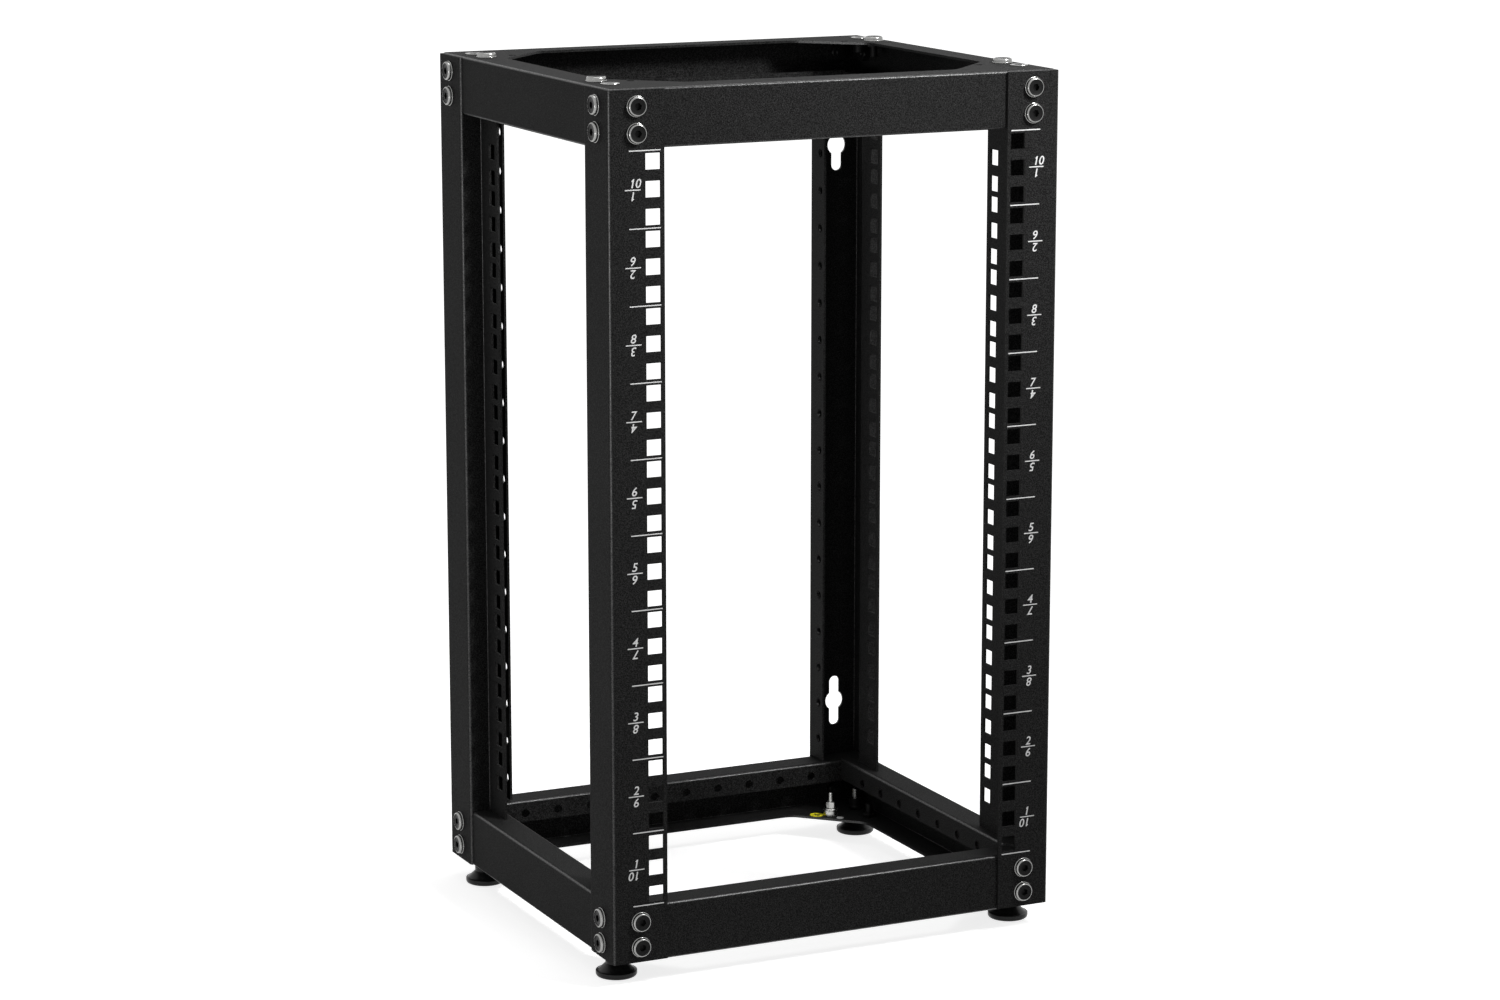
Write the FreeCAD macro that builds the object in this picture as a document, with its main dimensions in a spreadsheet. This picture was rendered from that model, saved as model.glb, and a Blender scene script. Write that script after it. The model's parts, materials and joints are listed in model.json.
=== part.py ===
"""Open-frame ten-inch rack of folded sheet steel, as a parametric document in millimetres.

The origin lies on the floor below the middle of the rack: +X to the right seen from the front, +Y to the back
and +Z up.
"""
import FreeCAD
import Part
import Sketcher
import math
import os

DIMENSIONS = (
    # Rack standard
    ("rack_units", 10, "units of panel height"),
    ("unit_height", 44.45, "one unit"),
    ("first_hole", 6.35, "unit line to the first hole"),
    ("hole_step", 15.875, "holes inside one unit"),
    ("square_hole", 9.5, "side of a cage-nut hole"),
    # Folded sheet
    ("overall_width", 292.0, "over the sides of the posts"),
    ("overall_depth", 261.5, "over the faces of the posts"),
    ("sheet", 1.5, "thickness of the steel"),
    ("bend", 0.6, "inside radius of a fold"),
    # Posts
    ("post_face", 34.8, "width of the face, which leaves 222.4 between two posts"),
    ("hole_edge", 7.0625, "face's inner edge to its holes, which puts the two columns 236.525 apart"),
    ("post_side", 35.0, "width of the outer side"),
    ("post_return", 13.4, "side to the outer face of the fin"),
    ("post_reach", 60.2, "face to the free edge of the fin"),
    ("post_inset", 0.85, "end of a post inside the frame's outer face"),
    ("fin_hole_edge", 8.3, "fin's free edge to its hole centres"),
    ("rear_flange", 20.0, "depth of the back post's inner flange"),
    ("rear_holes", 18, "round holes in that flange"),
    ("rear_pitch", 24.45, "between those holes"),
    ("rear_hole", 5.6, "their diameter"),
    ("rear_hole_inset", 14.4, "their centres from the back"),
    ("keyhole_round", 13.0, "diameter of a keyhole's middle"),
    ("keyhole_slot", 7.4, "width of its slots"),
    ("keyhole_length", 33.5, "over its slots"),
    ("keyhole_inset", 16.6, "its centre from the side"),
    ("keyhole_apart", 373.4, "between the two keyholes of a post"),
    # Frames
    ("frame_height", 34.6, "height of a frame"),
    ("side_rise", 1.2, "height by which its sides stand over its front and back"),
    ("frame_gap", 0.8, "frame to the nearest unit line"),
    ("frame_flange", 19.5, "width of its flanges"),
    ("frame_lip", 14.1, "height of its inner lip"),
    ("gusset", 37.3, "leg of a corner gusset"),
    ("gusset_round", 12.0, "rounding where a gusset meets the flange"),
    ("lip_hole", 5.6, "diameter of the holes in the lips"),
    ("lip_hole_height", 26.1, "outer face of a frame to their centres"),
    ("long_lip_holes", 10, "holes in a front or back lip"),
    ("long_lip_pitch", 22.8, "between them"),
    ("side_lip_holes", 7, "holes in a side lip"),
    ("side_lip_pitch", 26.3, "between them"),
    # Fastening
    ("bolt_hole", 6.4, "clearance for the bolts and screws"),
    ("bolt_inset", 17.5, "bolts from the corner of a post"),
    ("bolt_spacing", 15.4, "between the two bolts of a pair"),
    ("insert_inset_side", 13.0, "inserts and screws from the side"),
    ("insert_inset_face", 26.2, "inserts from the front or back"),
    ("screw_inset_face", 46.4, "corner screws from the front or back"),
    ("tie_hole", 5.0, "diameter of the small gusset hole"),
    ("tie_inset_side", 32.0, "small hole from the side"),
    ("tie_inset_face", 41.5, "small hole from the front or back"),
    # Threaded inserts
    ("insert_flange_radius", 5.5, "flange"),
    ("insert_flange_height", 0.8, "thickness of the flange"),
    ("insert_radius", 4.0, "barrel"),
    ("insert_bulge_radius", 4.7, "crimped bulge inside the frame"),
    ("insert_bulge_height", 3.0, "height of the bulge"),
    ("insert_length", 9.0, "outer face of the frame to the end of the barrel"),
    ("insert_bore", 3.0, "radius of the thread"),
    # Levelling feet
    ("foot_height", 14.1, "floor to the bottom frame"),
    ("foot_radius", 12.4, "rim of the foot"),
    ("foot_sole", 10.8, "radius that stands on the floor"),
    ("foot_rim_low", 2.0, "floor to the rim"),
    ("foot_rim_high", 3.7, "floor to the top of the rim"),
    ("foot_neck", 6.6, "radius of the neck"),
    ("foot_shoulder", 7.9, "floor to the neck"),
    ("foot_top", 12.3, "height of the foot"),
    ("stud_seat", 2.6, "floor to the end of the stud"),
    ("stud_tip", 30.5, "floor to the tip of the stud"),
    ("stud_clearance", 0.08, "stud to insert and foot"),
    ("stud_chamfer", 0.8, "chamfer of the tip"),
    # Earth stud
    ("earth_inset_side", 34.5, "stud from the side"),
    ("earth_inset_face", 32.3, "stud from the back"),
    ("earth_radius", 1.5, "stud"),
    ("earth_length", 15.3, "stud above the gusset"),
    ("earth_collar_radius", 4.7, "welded collar"),
    ("earth_collar_height", 4.9, "height of the collar"),
    ("earth_nut_flats", 5.2, "nut across its flats"),
    ("earth_nut_height", 4.2, "height of the nut"),
)

SHEET_NAME = "sizes"
FULL_TURN = 360.0
HALF_TURN = 180.0
QUARTER_TURN = 90.0
HEX_SIDES = 6


class Size:
    """A length or count, with its expression on the sheet and its present value."""

    def __init__(self, text, value):
        self.text = text
        self.value = value

    @staticmethod
    def of(thing):
        """Wraps a plain number and leaves a size as it is."""
        if isinstance(thing, Size):
            return thing
        return Size(repr(thing), thing)

    def __add__(self, other):
        other = Size.of(other)
        return Size(f"({self.text} + {other.text})", self.value + other.value)

    def __sub__(self, other):
        other = Size.of(other)
        return Size(f"({self.text} - {other.text})", self.value - other.value)

    def __mul__(self, other):
        other = Size.of(other)
        return Size(f"({self.text} * {other.text})", self.value * other.value)

    def __truediv__(self, other):
        other = Size.of(other)
        return Size(f"({self.text} / {other.text})", self.value / other.value)

    def __neg__(self):
        return self * -1


def make_sheet(doc):
    """Writes the driving dimensions to the sheet and returns them by name."""
    sheet = doc.addObject("Spreadsheet::Sheet", SHEET_NAME)
    table = {}
    for row, (alias, value, note) in enumerate(DIMENSIONS, start=1):
        sheet.set(f"A{row}", str(value))
        sheet.setAlias(f"A{row}", alias)
        sheet.set(f"B{row}", note)
        table[alias] = Size(f"{SHEET_NAME}.{alias}", value)
    doc.recompute()
    return table


doc = FreeCAD.newDocument("open_frame_rack")
size = make_sheet(doc)

half_width = size["overall_width"] / 2
half_depth = size["overall_depth"] / 2
half_opening = half_width - size["post_face"]
panel_height = size["rack_units"] * size["unit_height"]
clear_height = panel_height + size["frame_gap"] * 2
frame_top = size["foot_height"] + size["frame_height"] * 2 + clear_height
middle_height = size["foot_height"] + size["frame_height"] + clear_height / 2
post_length = clear_height + (size["frame_height"] - size["post_inset"]) * 2
frame_middle = clear_height / 2 + size["frame_height"] / 2
cut_depth = size["sheet"] * 4
stud_radius = size["insert_bore"] - size["stud_clearance"]


def new_body(label):
    """Adds an empty body that becomes the sub-part of that name."""
    body = doc.addObject("PartDesign::Body", label)
    body.Label = label
    return body


def origin_feature(body, role):
    """Finds one of the body's own planes or axes."""
    return next(feature for feature in body.Origin.OriginFeatures if feature.Role == role)


def new_sketch(body, name, role, level=None):
    """Attaches a sketch to one of the body's planes, at a level along that plane's normal."""
    sketch = body.newObject("Sketcher::SketchObject", name)
    sketch.AttachmentSupport = [(origin_feature(body, role), "")]
    sketch.MapMode = "FlatFace"
    if level is not None:
        sketch.setExpression("AttachmentOffset.Base.z", level.text)
    return sketch


def constrain(sketch, kind, places, length):
    """Adds a dimension that follows the sheet."""
    index = sketch.addConstraint(Sketcher.Constraint(kind, *places, length.value))
    sketch.setExpression(f"Constraints[{index}]", length.text)


def place_point(sketch, geometry, position, x, y):
    """Dimensions a point from the sketch's origin."""
    constrain(sketch, "DistanceX", (-1, 1, geometry, position), x)
    constrain(sketch, "DistanceY", (-1, 1, geometry, position), y)


def add_polygon(sketch, points):
    """Draws a closed outline of straight lines, with every corner dimensioned."""
    corners = [FreeCAD.Vector(x.value, y.value, 0) for x, y in points]
    count = len(corners)
    lines = [sketch.addGeometry(Part.LineSegment(corners[i], corners[(i + 1) % count])) for i in range(count)]
    for i in range(count):
        sketch.addConstraint(Sketcher.Constraint("Coincident", lines[i], 2, lines[(i + 1) % count], 1))
    for line, (x, y) in zip(lines, points):
        place_point(sketch, line, 1, x, y)


def add_square(sketch, x, y, side):
    """Draws a square about its centre."""
    half = side / 2
    left, right, low, high = x - half, x + half, y - half, y + half
    add_polygon(sketch, ((left, low), (right, low), (right, high), (left, high)))


def add_circle(sketch, x, y, diameter):
    """Draws a circle about its centre."""
    centre = FreeCAD.Vector(x.value, y.value, 0)
    circle = sketch.addGeometry(Part.Circle(centre, FreeCAD.Vector(0, 0, 1), diameter.value / 2))
    place_point(sketch, circle, 3, x, y)
    constrain(sketch, "Diameter", (circle,), diameter)


def add_arc(sketch, centre, radius, start, sweep):
    """Draws an arc that turns anticlockwise from its start angle."""
    circle = Part.Circle(centre, FreeCAD.Vector(0, 0, 1), radius)
    return sketch.addGeometry(Part.ArcOfCircle(circle, start, start + sweep))


def add_slot(sketch, x, y, width, length):
    """Draws an upright slot with round ends about its centre."""
    reach = (length - width) / 2
    radius = width / 2
    up = FreeCAD.Vector(x.value, y.value + reach.value, 0)
    down = FreeCAD.Vector(x.value, y.value - reach.value, 0)
    side = FreeCAD.Vector(radius.value, 0, 0)
    top = add_arc(sketch, up, radius.value, 0, math.pi)
    bottom = add_arc(sketch, down, radius.value, math.pi, math.pi)
    left = sketch.addGeometry(Part.LineSegment(up - side, down - side))
    right = sketch.addGeometry(Part.LineSegment(down + side, up + side))
    for ends in ((top, 2, left, 1), (left, 2, bottom, 1), (bottom, 2, right, 1), (right, 2, top, 1)):
        sketch.addConstraint(Sketcher.Constraint("Tangent", *ends))
    place_point(sketch, top, 3, x, y + reach)
    constrain(sketch, "DistanceY", (-1, 1, bottom, 3), y - reach)
    constrain(sketch, "Radius", (top,), radius)


def add_folded_strip(sketch, stations):
    """Draws the section of a folded strip whose metal lies to the right of its reference face.

    Each station is an axis, 0 or 1, and where the face crosses it. The first and last are the free edges.
    """
    thickness = size["sheet"].value
    inside = size["bend"].value
    faces = len(stations) - 2
    corners = []
    for (axis, here), (_, there) in zip(stations, stations[1:]):
        pair = (here.value, there.value) if axis == 0 else (there.value, here.value)
        corners.append(FreeCAD.Vector(*pair, 0))
    along = [(corners[i + 1] - corners[i]).normalize() for i in range(faces)]
    inward = [FreeCAD.Vector(step.y, -step.x, 0) for step in along]
    backs = [corners[0] + inward[0] * thickness]
    for i in range(1, faces):
        backs.append(corners[i] + (inward[i - 1] + inward[i]) * thickness)
    backs.append(corners[faces] + inward[faces - 1] * thickness)

    def draw_side(points, radii):
        """Draws one face of the strip and returns its lines and arcs."""
        lines, arcs = [], []
        begin = points[0]
        for i in range(faces):
            last = i == faces - 1
            end = points[i + 1] if last else points[i + 1] - along[i] * radii[i]
            lines.append(sketch.addGeometry(Part.LineSegment(begin, end)))
            if last:
                break
            centre = end + along[i + 1] * radii[i]
            begin = points[i + 1] + along[i + 1] * radii[i]
            first = end if turns_left[i] else begin
            spoke = first - centre
            arcs.append(add_arc(sketch, centre, radii[i], math.atan2(spoke.y, spoke.x), math.pi / 2))
        for i, arc in enumerate(arcs):
            enter, leave = (1, 2) if turns_left[i] else (2, 1)
            sketch.addConstraint(Sketcher.Constraint("Tangent", lines[i], 2, arc, enter))
            sketch.addConstraint(Sketcher.Constraint("Tangent", arc, leave, lines[i + 1], 1))
        for line, (axis, _) in zip(lines, stations[1:-1]):
            sketch.addConstraint(Sketcher.Constraint("Vertical" if axis == 0 else "Horizontal", line))
        return lines, arcs

    turns_left = [along[i].cross(along[i + 1]).z > 0 for i in range(faces - 1)]
    face_radii = [inside if left else inside + thickness for left in turns_left]
    back_radii = [inside + thickness if left else inside for left in turns_left]
    face_lines, face_arcs = draw_side(corners, face_radii)
    back_lines, back_arcs = draw_side(backs, back_radii)
    for face_arc, back_arc, left in zip(face_arcs, back_arcs, turns_left):
        sketch.addConstraint(Sketcher.Constraint("Coincident", face_arc, 3, back_arc, 3))
        constrain(sketch, "Radius", (face_arc if left else back_arc,), size["bend"])
    for position, index in ((1, 0), (2, -1)):
        corner, back = (corners[index], backs[index])
        edge = sketch.addGeometry(Part.LineSegment(corner, back))
        axis = stations[index][0]
        sketch.addConstraint(Sketcher.Constraint("Coincident", edge, 1, face_lines[index], position))
        sketch.addConstraint(Sketcher.Constraint("Coincident", edge, 2, back_lines[index], position))
        sketch.addConstraint(Sketcher.Constraint("Vertical" if axis == 0 else "Horizontal", edge))
        if index == 0:
            constrain(sketch, "Distance", (edge,), size["sheet"])
    edges = [face_lines[0]] + face_lines + [face_lines[-1]]
    for number, (line, (axis, where)) in enumerate(zip(edges, stations)):
        position = 2 if number == len(stations) - 1 else 1
        constrain(sketch, "DistanceX" if axis == 0 else "DistanceY", (-1, 1, line, position), where)


def add_pad(body, sketch, length, symmetric=False):
    """Raises a sketch into solid metal."""
    pad = body.newObject("PartDesign::Pad", f"{sketch.Name}_pad")
    pad.Profile = sketch
    pad.SideType = "Symmetric" if symmetric else "One side"
    pad.setExpression("Length", length.text)
    doc.recompute()
    return pad


def add_cut(body, sketch, length):
    """Cuts a sketch through the metal to both sides of its plane, and checks that it cuts."""
    before = body.Shape.Volume
    pocket = body.newObject("PartDesign::Pocket", f"{sketch.Name}_cut")
    pocket.Profile = sketch
    pocket.SideType = "Symmetric"
    pocket.setExpression("Length", length.text)
    doc.recompute()
    if body.Shape.Volume >= before:
        raise RuntimeError(f"{pocket.Name} cuts nothing")
    return pocket


def add_row(body, feature, axis_role, count, pitch):
    """Repeats a cut along one of the body's axes."""
    row = body.newObject("PartDesign::LinearPattern", f"{feature.Name}_row")
    row.Originals = [feature]
    row.Direction = (origin_feature(body, axis_role), [""])
    row.Mode = "Spacing"
    row.setExpression("Offset", pitch.text)
    row.setExpression("Occurrences", count.text)
    body.Tip = row
    doc.recompute()
    return row


def turn_solid(body, outline):
    """Turns an outline of radius and height about the body's own upright axis."""
    sketch = new_sketch(body, f"{body.Name}_outline", "XZ_Plane")
    add_polygon(sketch, outline)
    turned = body.newObject("PartDesign::Revolution", f"{body.Name}_turned")
    turned.Profile = sketch
    turned.ReferenceAxis = (sketch, ["V_Axis"])
    turned.Angle = FULL_TURN
    doc.recompute()


def place(body, x, y, z, rotation=FreeCAD.Rotation()):
    """Turns a body and moves it to a place that follows the sheet."""
    body.Placement = FreeCAD.Placement(FreeCAD.Vector(x.value, y.value, z.value), rotation)
    for axis, where in zip("xyz", (x, y, z)):
        body.setExpression(f"Placement.Base.{axis}", where.text)


def about(axis, angle):
    """A rotation about a main axis."""
    return FreeCAD.Rotation(axis, angle)


X_AXIS = FreeCAD.Vector(1, 0, 0)
Y_AXIS = FreeCAD.Vector(0, 1, 0)
Z_AXIS = FreeCAD.Vector(0, 0, 1)
ZERO = Size.of(0)


def unit_hole(row):
    """Height of a rack hole in the lowest unit, from the middle of the post: 0, 1 or 2 upwards."""
    return size["first_hole"] + size["hole_step"] * row - panel_height / 2


def bolt_heights():
    """Heights of a post's four bolts from its middle."""
    half = size["bolt_spacing"] / 2
    return [frame_middle * end + half * step for end in (-1, 1) for step in (-1, 1)]


def make_post(label, rotation, is_back):
    """Folds one post, drawn at the back right with its middle at the origin, and turns it to its corner."""
    body = new_body(label)
    section = new_sketch(body, f"{label}_section", "XY_Plane", -post_length / 2)
    fin_face = half_width - size["post_return"]
    stations = [
        (1, half_depth),
        (0, half_width),
        (1, half_depth - size["post_side"]),
        (0, fin_face),
        (1, half_depth - size["post_reach"]),
    ]
    if is_back:
        stations = [(1, half_depth - size["rear_flange"]), (0, half_opening)] + stations
    else:
        stations = [(0, half_opening)] + stations
    add_folded_strip(section, stations)
    add_pad(body, section, post_length)
    for name, end in (("bottom", -1), ("top", 1)):
        trim = new_sketch(body, f"{label}_{name}_trim", "XY_Plane", frame_middle * end)
        near_x = half_opening - size["sheet"]
        far_x = half_width - size["sheet"]
        near_y = half_depth - size["post_reach"] - size["sheet"]
        far_y = half_depth - size["sheet"]
        add_polygon(trim, ((near_x, near_y), (far_x, near_y), (far_x, far_y), (near_x, far_y)))
        add_cut(body, trim, size["frame_height"] + size["side_rise"] * 2)
    cut_bolt_holes(body, label)
    cut_fin_holes(body, label, fin_face)
    if is_back:
        cut_keyholes(body, label)
        cut_rear_flange_holes(body, label)
    else:
        cut_face_holes(body, label)
    place(body, ZERO, ZERO, middle_height, rotation)
    return body


def cut_bolt_holes(body, label):
    """Drills the pairs of bolt holes at both ends of a post, in its face and in its side."""
    face = new_sketch(body, f"{label}_face_bolts", "XZ_Plane", -half_depth)
    side = new_sketch(body, f"{label}_side_bolts", "YZ_Plane", half_width)
    for height in bolt_heights():
        add_circle(face, half_width - size["bolt_inset"], height, size["bolt_hole"])
        add_circle(side, half_depth - size["bolt_inset"], height, size["bolt_hole"])
    add_cut(body, face, cut_depth)
    add_cut(body, side, cut_depth)


def cut_face_holes(body, label):
    """Punches the front face's cage-nut holes, three to a unit."""
    holes = new_sketch(body, f"{label}_face_holes", "XZ_Plane", -half_depth)
    for row in range(3):
        add_square(holes, half_opening + size["hole_edge"], unit_hole(row), size["square_hole"])
    unit = add_cut(body, holes, cut_depth)
    add_row(body, unit, "Z_Axis", size["rack_units"], size["unit_height"])


def cut_fin_holes(body, label, fin_face):
    """Punches the fin's square holes, which leave out the lowest and the highest place."""
    column = half_depth - size["post_reach"] + size["fin_hole_edge"]
    holes = new_sketch(body, f"{label}_fin_holes", "YZ_Plane", fin_face)
    for height in (unit_hole(1), unit_hole(2), unit_hole(0) + size["unit_height"]):
        add_square(holes, column, height, size["square_hole"])
    group = add_cut(body, holes, cut_depth)
    add_row(body, group, "Z_Axis", size["rack_units"] - 1, size["unit_height"])
    last = new_sketch(body, f"{label}_fin_last_hole", "YZ_Plane", fin_face)
    add_square(last, column, -unit_hole(1), size["square_hole"])
    add_cut(body, last, cut_depth)


def cut_keyholes(body, label):
    """Cuts the back face's double keyholes: a round middle with a slot above and below."""
    x = half_width - size["keyhole_inset"]
    rounds = new_sketch(body, f"{label}_keyhole_rounds", "XZ_Plane", -half_depth)
    slots = new_sketch(body, f"{label}_keyhole_slots", "XZ_Plane", -half_depth)
    for end in (-0.5, 0.5):
        height = size["keyhole_apart"] * end
        add_circle(rounds, x, height, size["keyhole_round"])
        add_slot(slots, x, height, size["keyhole_slot"], size["keyhole_length"])
    add_cut(body, rounds, cut_depth)
    add_cut(body, slots, cut_depth)


def cut_rear_flange_holes(body, label):
    """Drills the row of round holes in the back post's inner flange."""
    holes = new_sketch(body, f"{label}_flange_holes", "YZ_Plane", half_opening)
    lowest = -size["rear_pitch"] * (size["rear_holes"] - 1) / 2
    add_circle(holes, half_depth - size["rear_hole_inset"], lowest, size["rear_hole"])
    first = add_cut(body, holes, cut_depth)
    add_row(body, first, "Z_Axis", size["rear_holes"], size["rear_pitch"])


def find_upright_edge(shape, x, y):
    """Names the short upright edge of the wide flange at that place."""
    thickness = size["sheet"].value
    for number, edge in enumerate(shape.Edges, start=1):
        start, end = edge.Vertexes[0].Point, edge.Vertexes[-1].Point
        middle = (start + end) / 2
        is_here = abs(middle.x - x) < thickness / 4 and abs(middle.y - y) < thickness / 4
        is_upright = abs(start.z - end.z) > thickness / 2
        is_flange = max(start.z, end.z) < thickness * 2
        if is_here and is_upright and is_flange:
            return f"Edge{number}"
    raise RuntimeError("no edge at the foot of the gusset")


def make_rail(label, length, where, rotation, is_top, is_side):
    """Folds one rail of a frame, drawn along X with its web at the front, and turns it to its side."""
    body = new_body(label)
    half = length / 2
    height = size["frame_height"] + size["side_rise"] if is_side else size["frame_height"]
    flange = size["frame_flange"]
    gusset = size["gusset"]
    section = new_sketch(body, f"{label}_section", "YZ_Plane")
    stations = [
        (1, height - size["frame_lip"]),
        (0, flange),
        (1, height),
        (0, ZERO),
        (1, ZERO),
        (0, flange),
    ]
    add_folded_strip(section, list(reversed(stations)))
    add_pad(body, section, length, symmetric=True)
    corners = new_sketch(body, f"{label}_gussets", "XY_Plane")
    mitres = new_sketch(body, f"{label}_mitres", "XY_Plane")
    reach = flange + gusset
    for end in (-1, 1):
        root = (half - flange) * end
        tip = (half - flange - gusset) * end
        middle = (half - flange - gusset / 2) * end
        add_polygon(corners, ((root, flange), (tip, flange), (middle, flange + gusset / 2)))
        add_polygon(mitres, ((half * end, ZERO), (half * end, reach), ((half - reach) * end, reach)))
    add_pad(body, corners, size["sheet"])
    add_cut(body, mitres, height * 2)
    round_gussets(body, label, half - flange - gusset, flange)
    cut_lip_holes(body, label, is_side)
    cut_web_bolt_holes(body, label, half)
    if is_side:
        cut_corner_holes(body, label, half)
    turned = about(Y_AXIS, HALF_TURN) if is_top else FreeCAD.Rotation()
    place(body, *where, frame_top if is_top else size["foot_height"], rotation.multiply(turned))
    return body


def round_gussets(body, label, tip, flange):
    """Rounds the flange into its gussets."""
    base = body.Tip
    names = [find_upright_edge(body.Shape, tip.value * end, flange.value) for end in (-1, 1)]
    fillet = body.newObject("PartDesign::Fillet", f"{label}_gusset_rounds")
    fillet.Base = (base, names)
    fillet.setExpression("Radius", size["gusset_round"].text)
    doc.recompute()


def cut_lip_holes(body, label, is_side):
    """Drills the row of round holes in a rail's inner lip."""
    count = size["side_lip_holes" if is_side else "long_lip_holes"]
    pitch = size["side_lip_pitch" if is_side else "long_lip_pitch"]
    holes = new_sketch(body, f"{label}_lip_holes", "XZ_Plane", -size["frame_flange"])
    add_circle(holes, -pitch * (count - 1) / 2, size["lip_hole_height"], size["lip_hole"])
    first = add_cut(body, holes, cut_depth)
    add_row(body, first, "X_Axis", count, pitch)


def cut_web_bolt_holes(body, label, half):
    """Drills the pairs of bolt holes at both ends of a rail's web."""
    holes = new_sketch(body, f"{label}_web_bolts", "XZ_Plane")
    inset = size["bolt_inset"] - size["sheet"]
    for end in (-1, 1):
        for step in (-0.5, 0.5):
            height = size["frame_height"] / 2 + size["bolt_spacing"] * step
            add_circle(holes, (half - inset) * end, height, size["bolt_hole"])
    add_cut(body, holes, cut_depth)


def cut_corner_holes(body, label, half):
    """Drills a side rail's outer flange for the inserts, the corner screws and the small gusset holes."""
    holes = new_sketch(body, f"{label}_corner_holes", "XY_Plane")
    across = size["insert_inset_side"] - size["sheet"]
    for end in (-1, 1):
        insert = (half - size["insert_inset_face"] + size["sheet"]) * end
        screw = (half - size["screw_inset_face"] + size["sheet"]) * end
        tie = (half - size["tie_inset_face"] + size["sheet"]) * end
        add_circle(holes, insert, across, size["insert_radius"] * 2)
        add_circle(holes, screw, across, size["bolt_hole"])
        add_circle(holes, tie, size["tie_inset_side"] - size["sheet"], size["tie_hole"])
    add_cut(body, holes, cut_depth)


def make_insert(label, x, y, is_top):
    """Turns a threaded insert: a thin flange outside the frame and a crimped barrel inside it."""
    body = new_body(label)
    bore = size["insert_bore"]
    barrel = size["insert_radius"]
    flange = size["insert_flange_radius"]
    bulge = size["insert_bulge_radius"]
    bulge_top = size["sheet"] + size["insert_bulge_height"]
    crimp = bulge - barrel
    turn_solid(body, (
        (bore, -size["insert_flange_height"]),
        (flange, -size["insert_flange_height"]),
        (flange, ZERO),
        (barrel, ZERO),
        (barrel, size["sheet"]),
        (bulge, size["sheet"]),
        (bulge, bulge_top),
        (barrel, bulge_top + crimp),
        (barrel, size["insert_length"]),
        (bore, size["insert_length"]),
    ))
    turned = about(X_AXIS, HALF_TURN) if is_top else FreeCAD.Rotation()
    place(body, x, y, frame_top if is_top else size["foot_height"], turned)
    return body


def make_foot(label, x, y):
    """Turns a levelling foot, a coned disc with a neck and a blind seat for its stud."""
    body = new_body(label)
    seat = size["insert_bore"]
    turn_solid(body, (
        (ZERO, ZERO),
        (size["foot_sole"], ZERO),
        (size["foot_radius"], size["foot_rim_low"]),
        (size["foot_radius"], size["foot_rim_high"]),
        (size["foot_neck"], size["foot_shoulder"]),
        (size["foot_neck"], size["foot_top"]),
        (seat, size["foot_top"]),
        (seat, size["stud_seat"]),
        (ZERO, size["stud_seat"]),
    ))
    place(body, x, y, ZERO)
    return body


def make_stud(label, x, y):
    """Turns the stud of a levelling foot, up through the insert that carries the frame."""
    body = new_body(label)
    turn_solid(body, (
        (ZERO, size["stud_seat"]),
        (stud_radius, size["stud_seat"]),
        (stud_radius, size["stud_tip"] - size["stud_chamfer"]),
        (stud_radius - size["stud_chamfer"], size["stud_tip"]),
        (ZERO, size["stud_tip"]),
    ))
    place(body, x, y, ZERO)
    return body


def make_earth_stud(label, x, y, z):
    """Turns the earth stud, welded to the gusset by its collar."""
    body = new_body(label)
    turn_solid(body, (
        (ZERO, ZERO),
        (size["earth_collar_radius"], ZERO),
        (size["earth_collar_radius"], size["earth_collar_height"]),
        (size["earth_radius"], size["earth_collar_height"]),
        (size["earth_radius"], size["earth_length"]),
        (ZERO, size["earth_length"]),
    ))
    place(body, x, y, z)
    return body


def make_earth_nut(label, x, y, z):
    """Makes the hexagon nut that sits on the earth stud's collar."""
    body = new_body(label)
    sketch = new_sketch(body, f"{label}_hexagon", "XY_Plane")
    corner = size["earth_nut_flats"] / math.sqrt(3)
    angles = [math.radians(side * FULL_TURN / HEX_SIDES) for side in range(HEX_SIDES)]
    add_polygon(sketch, [(corner * math.cos(angle), corner * math.sin(angle)) for angle in angles])
    add_pad(body, sketch, size["earth_nut_height"])
    hole = new_sketch(body, f"{label}_hole", "XY_Plane")
    add_circle(hole, ZERO, ZERO, (size["earth_radius"] + size["stud_clearance"]) * 2)
    add_cut(body, hole, size["earth_nut_height"] * 3)
    place(body, x, y, z)
    return body


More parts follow.
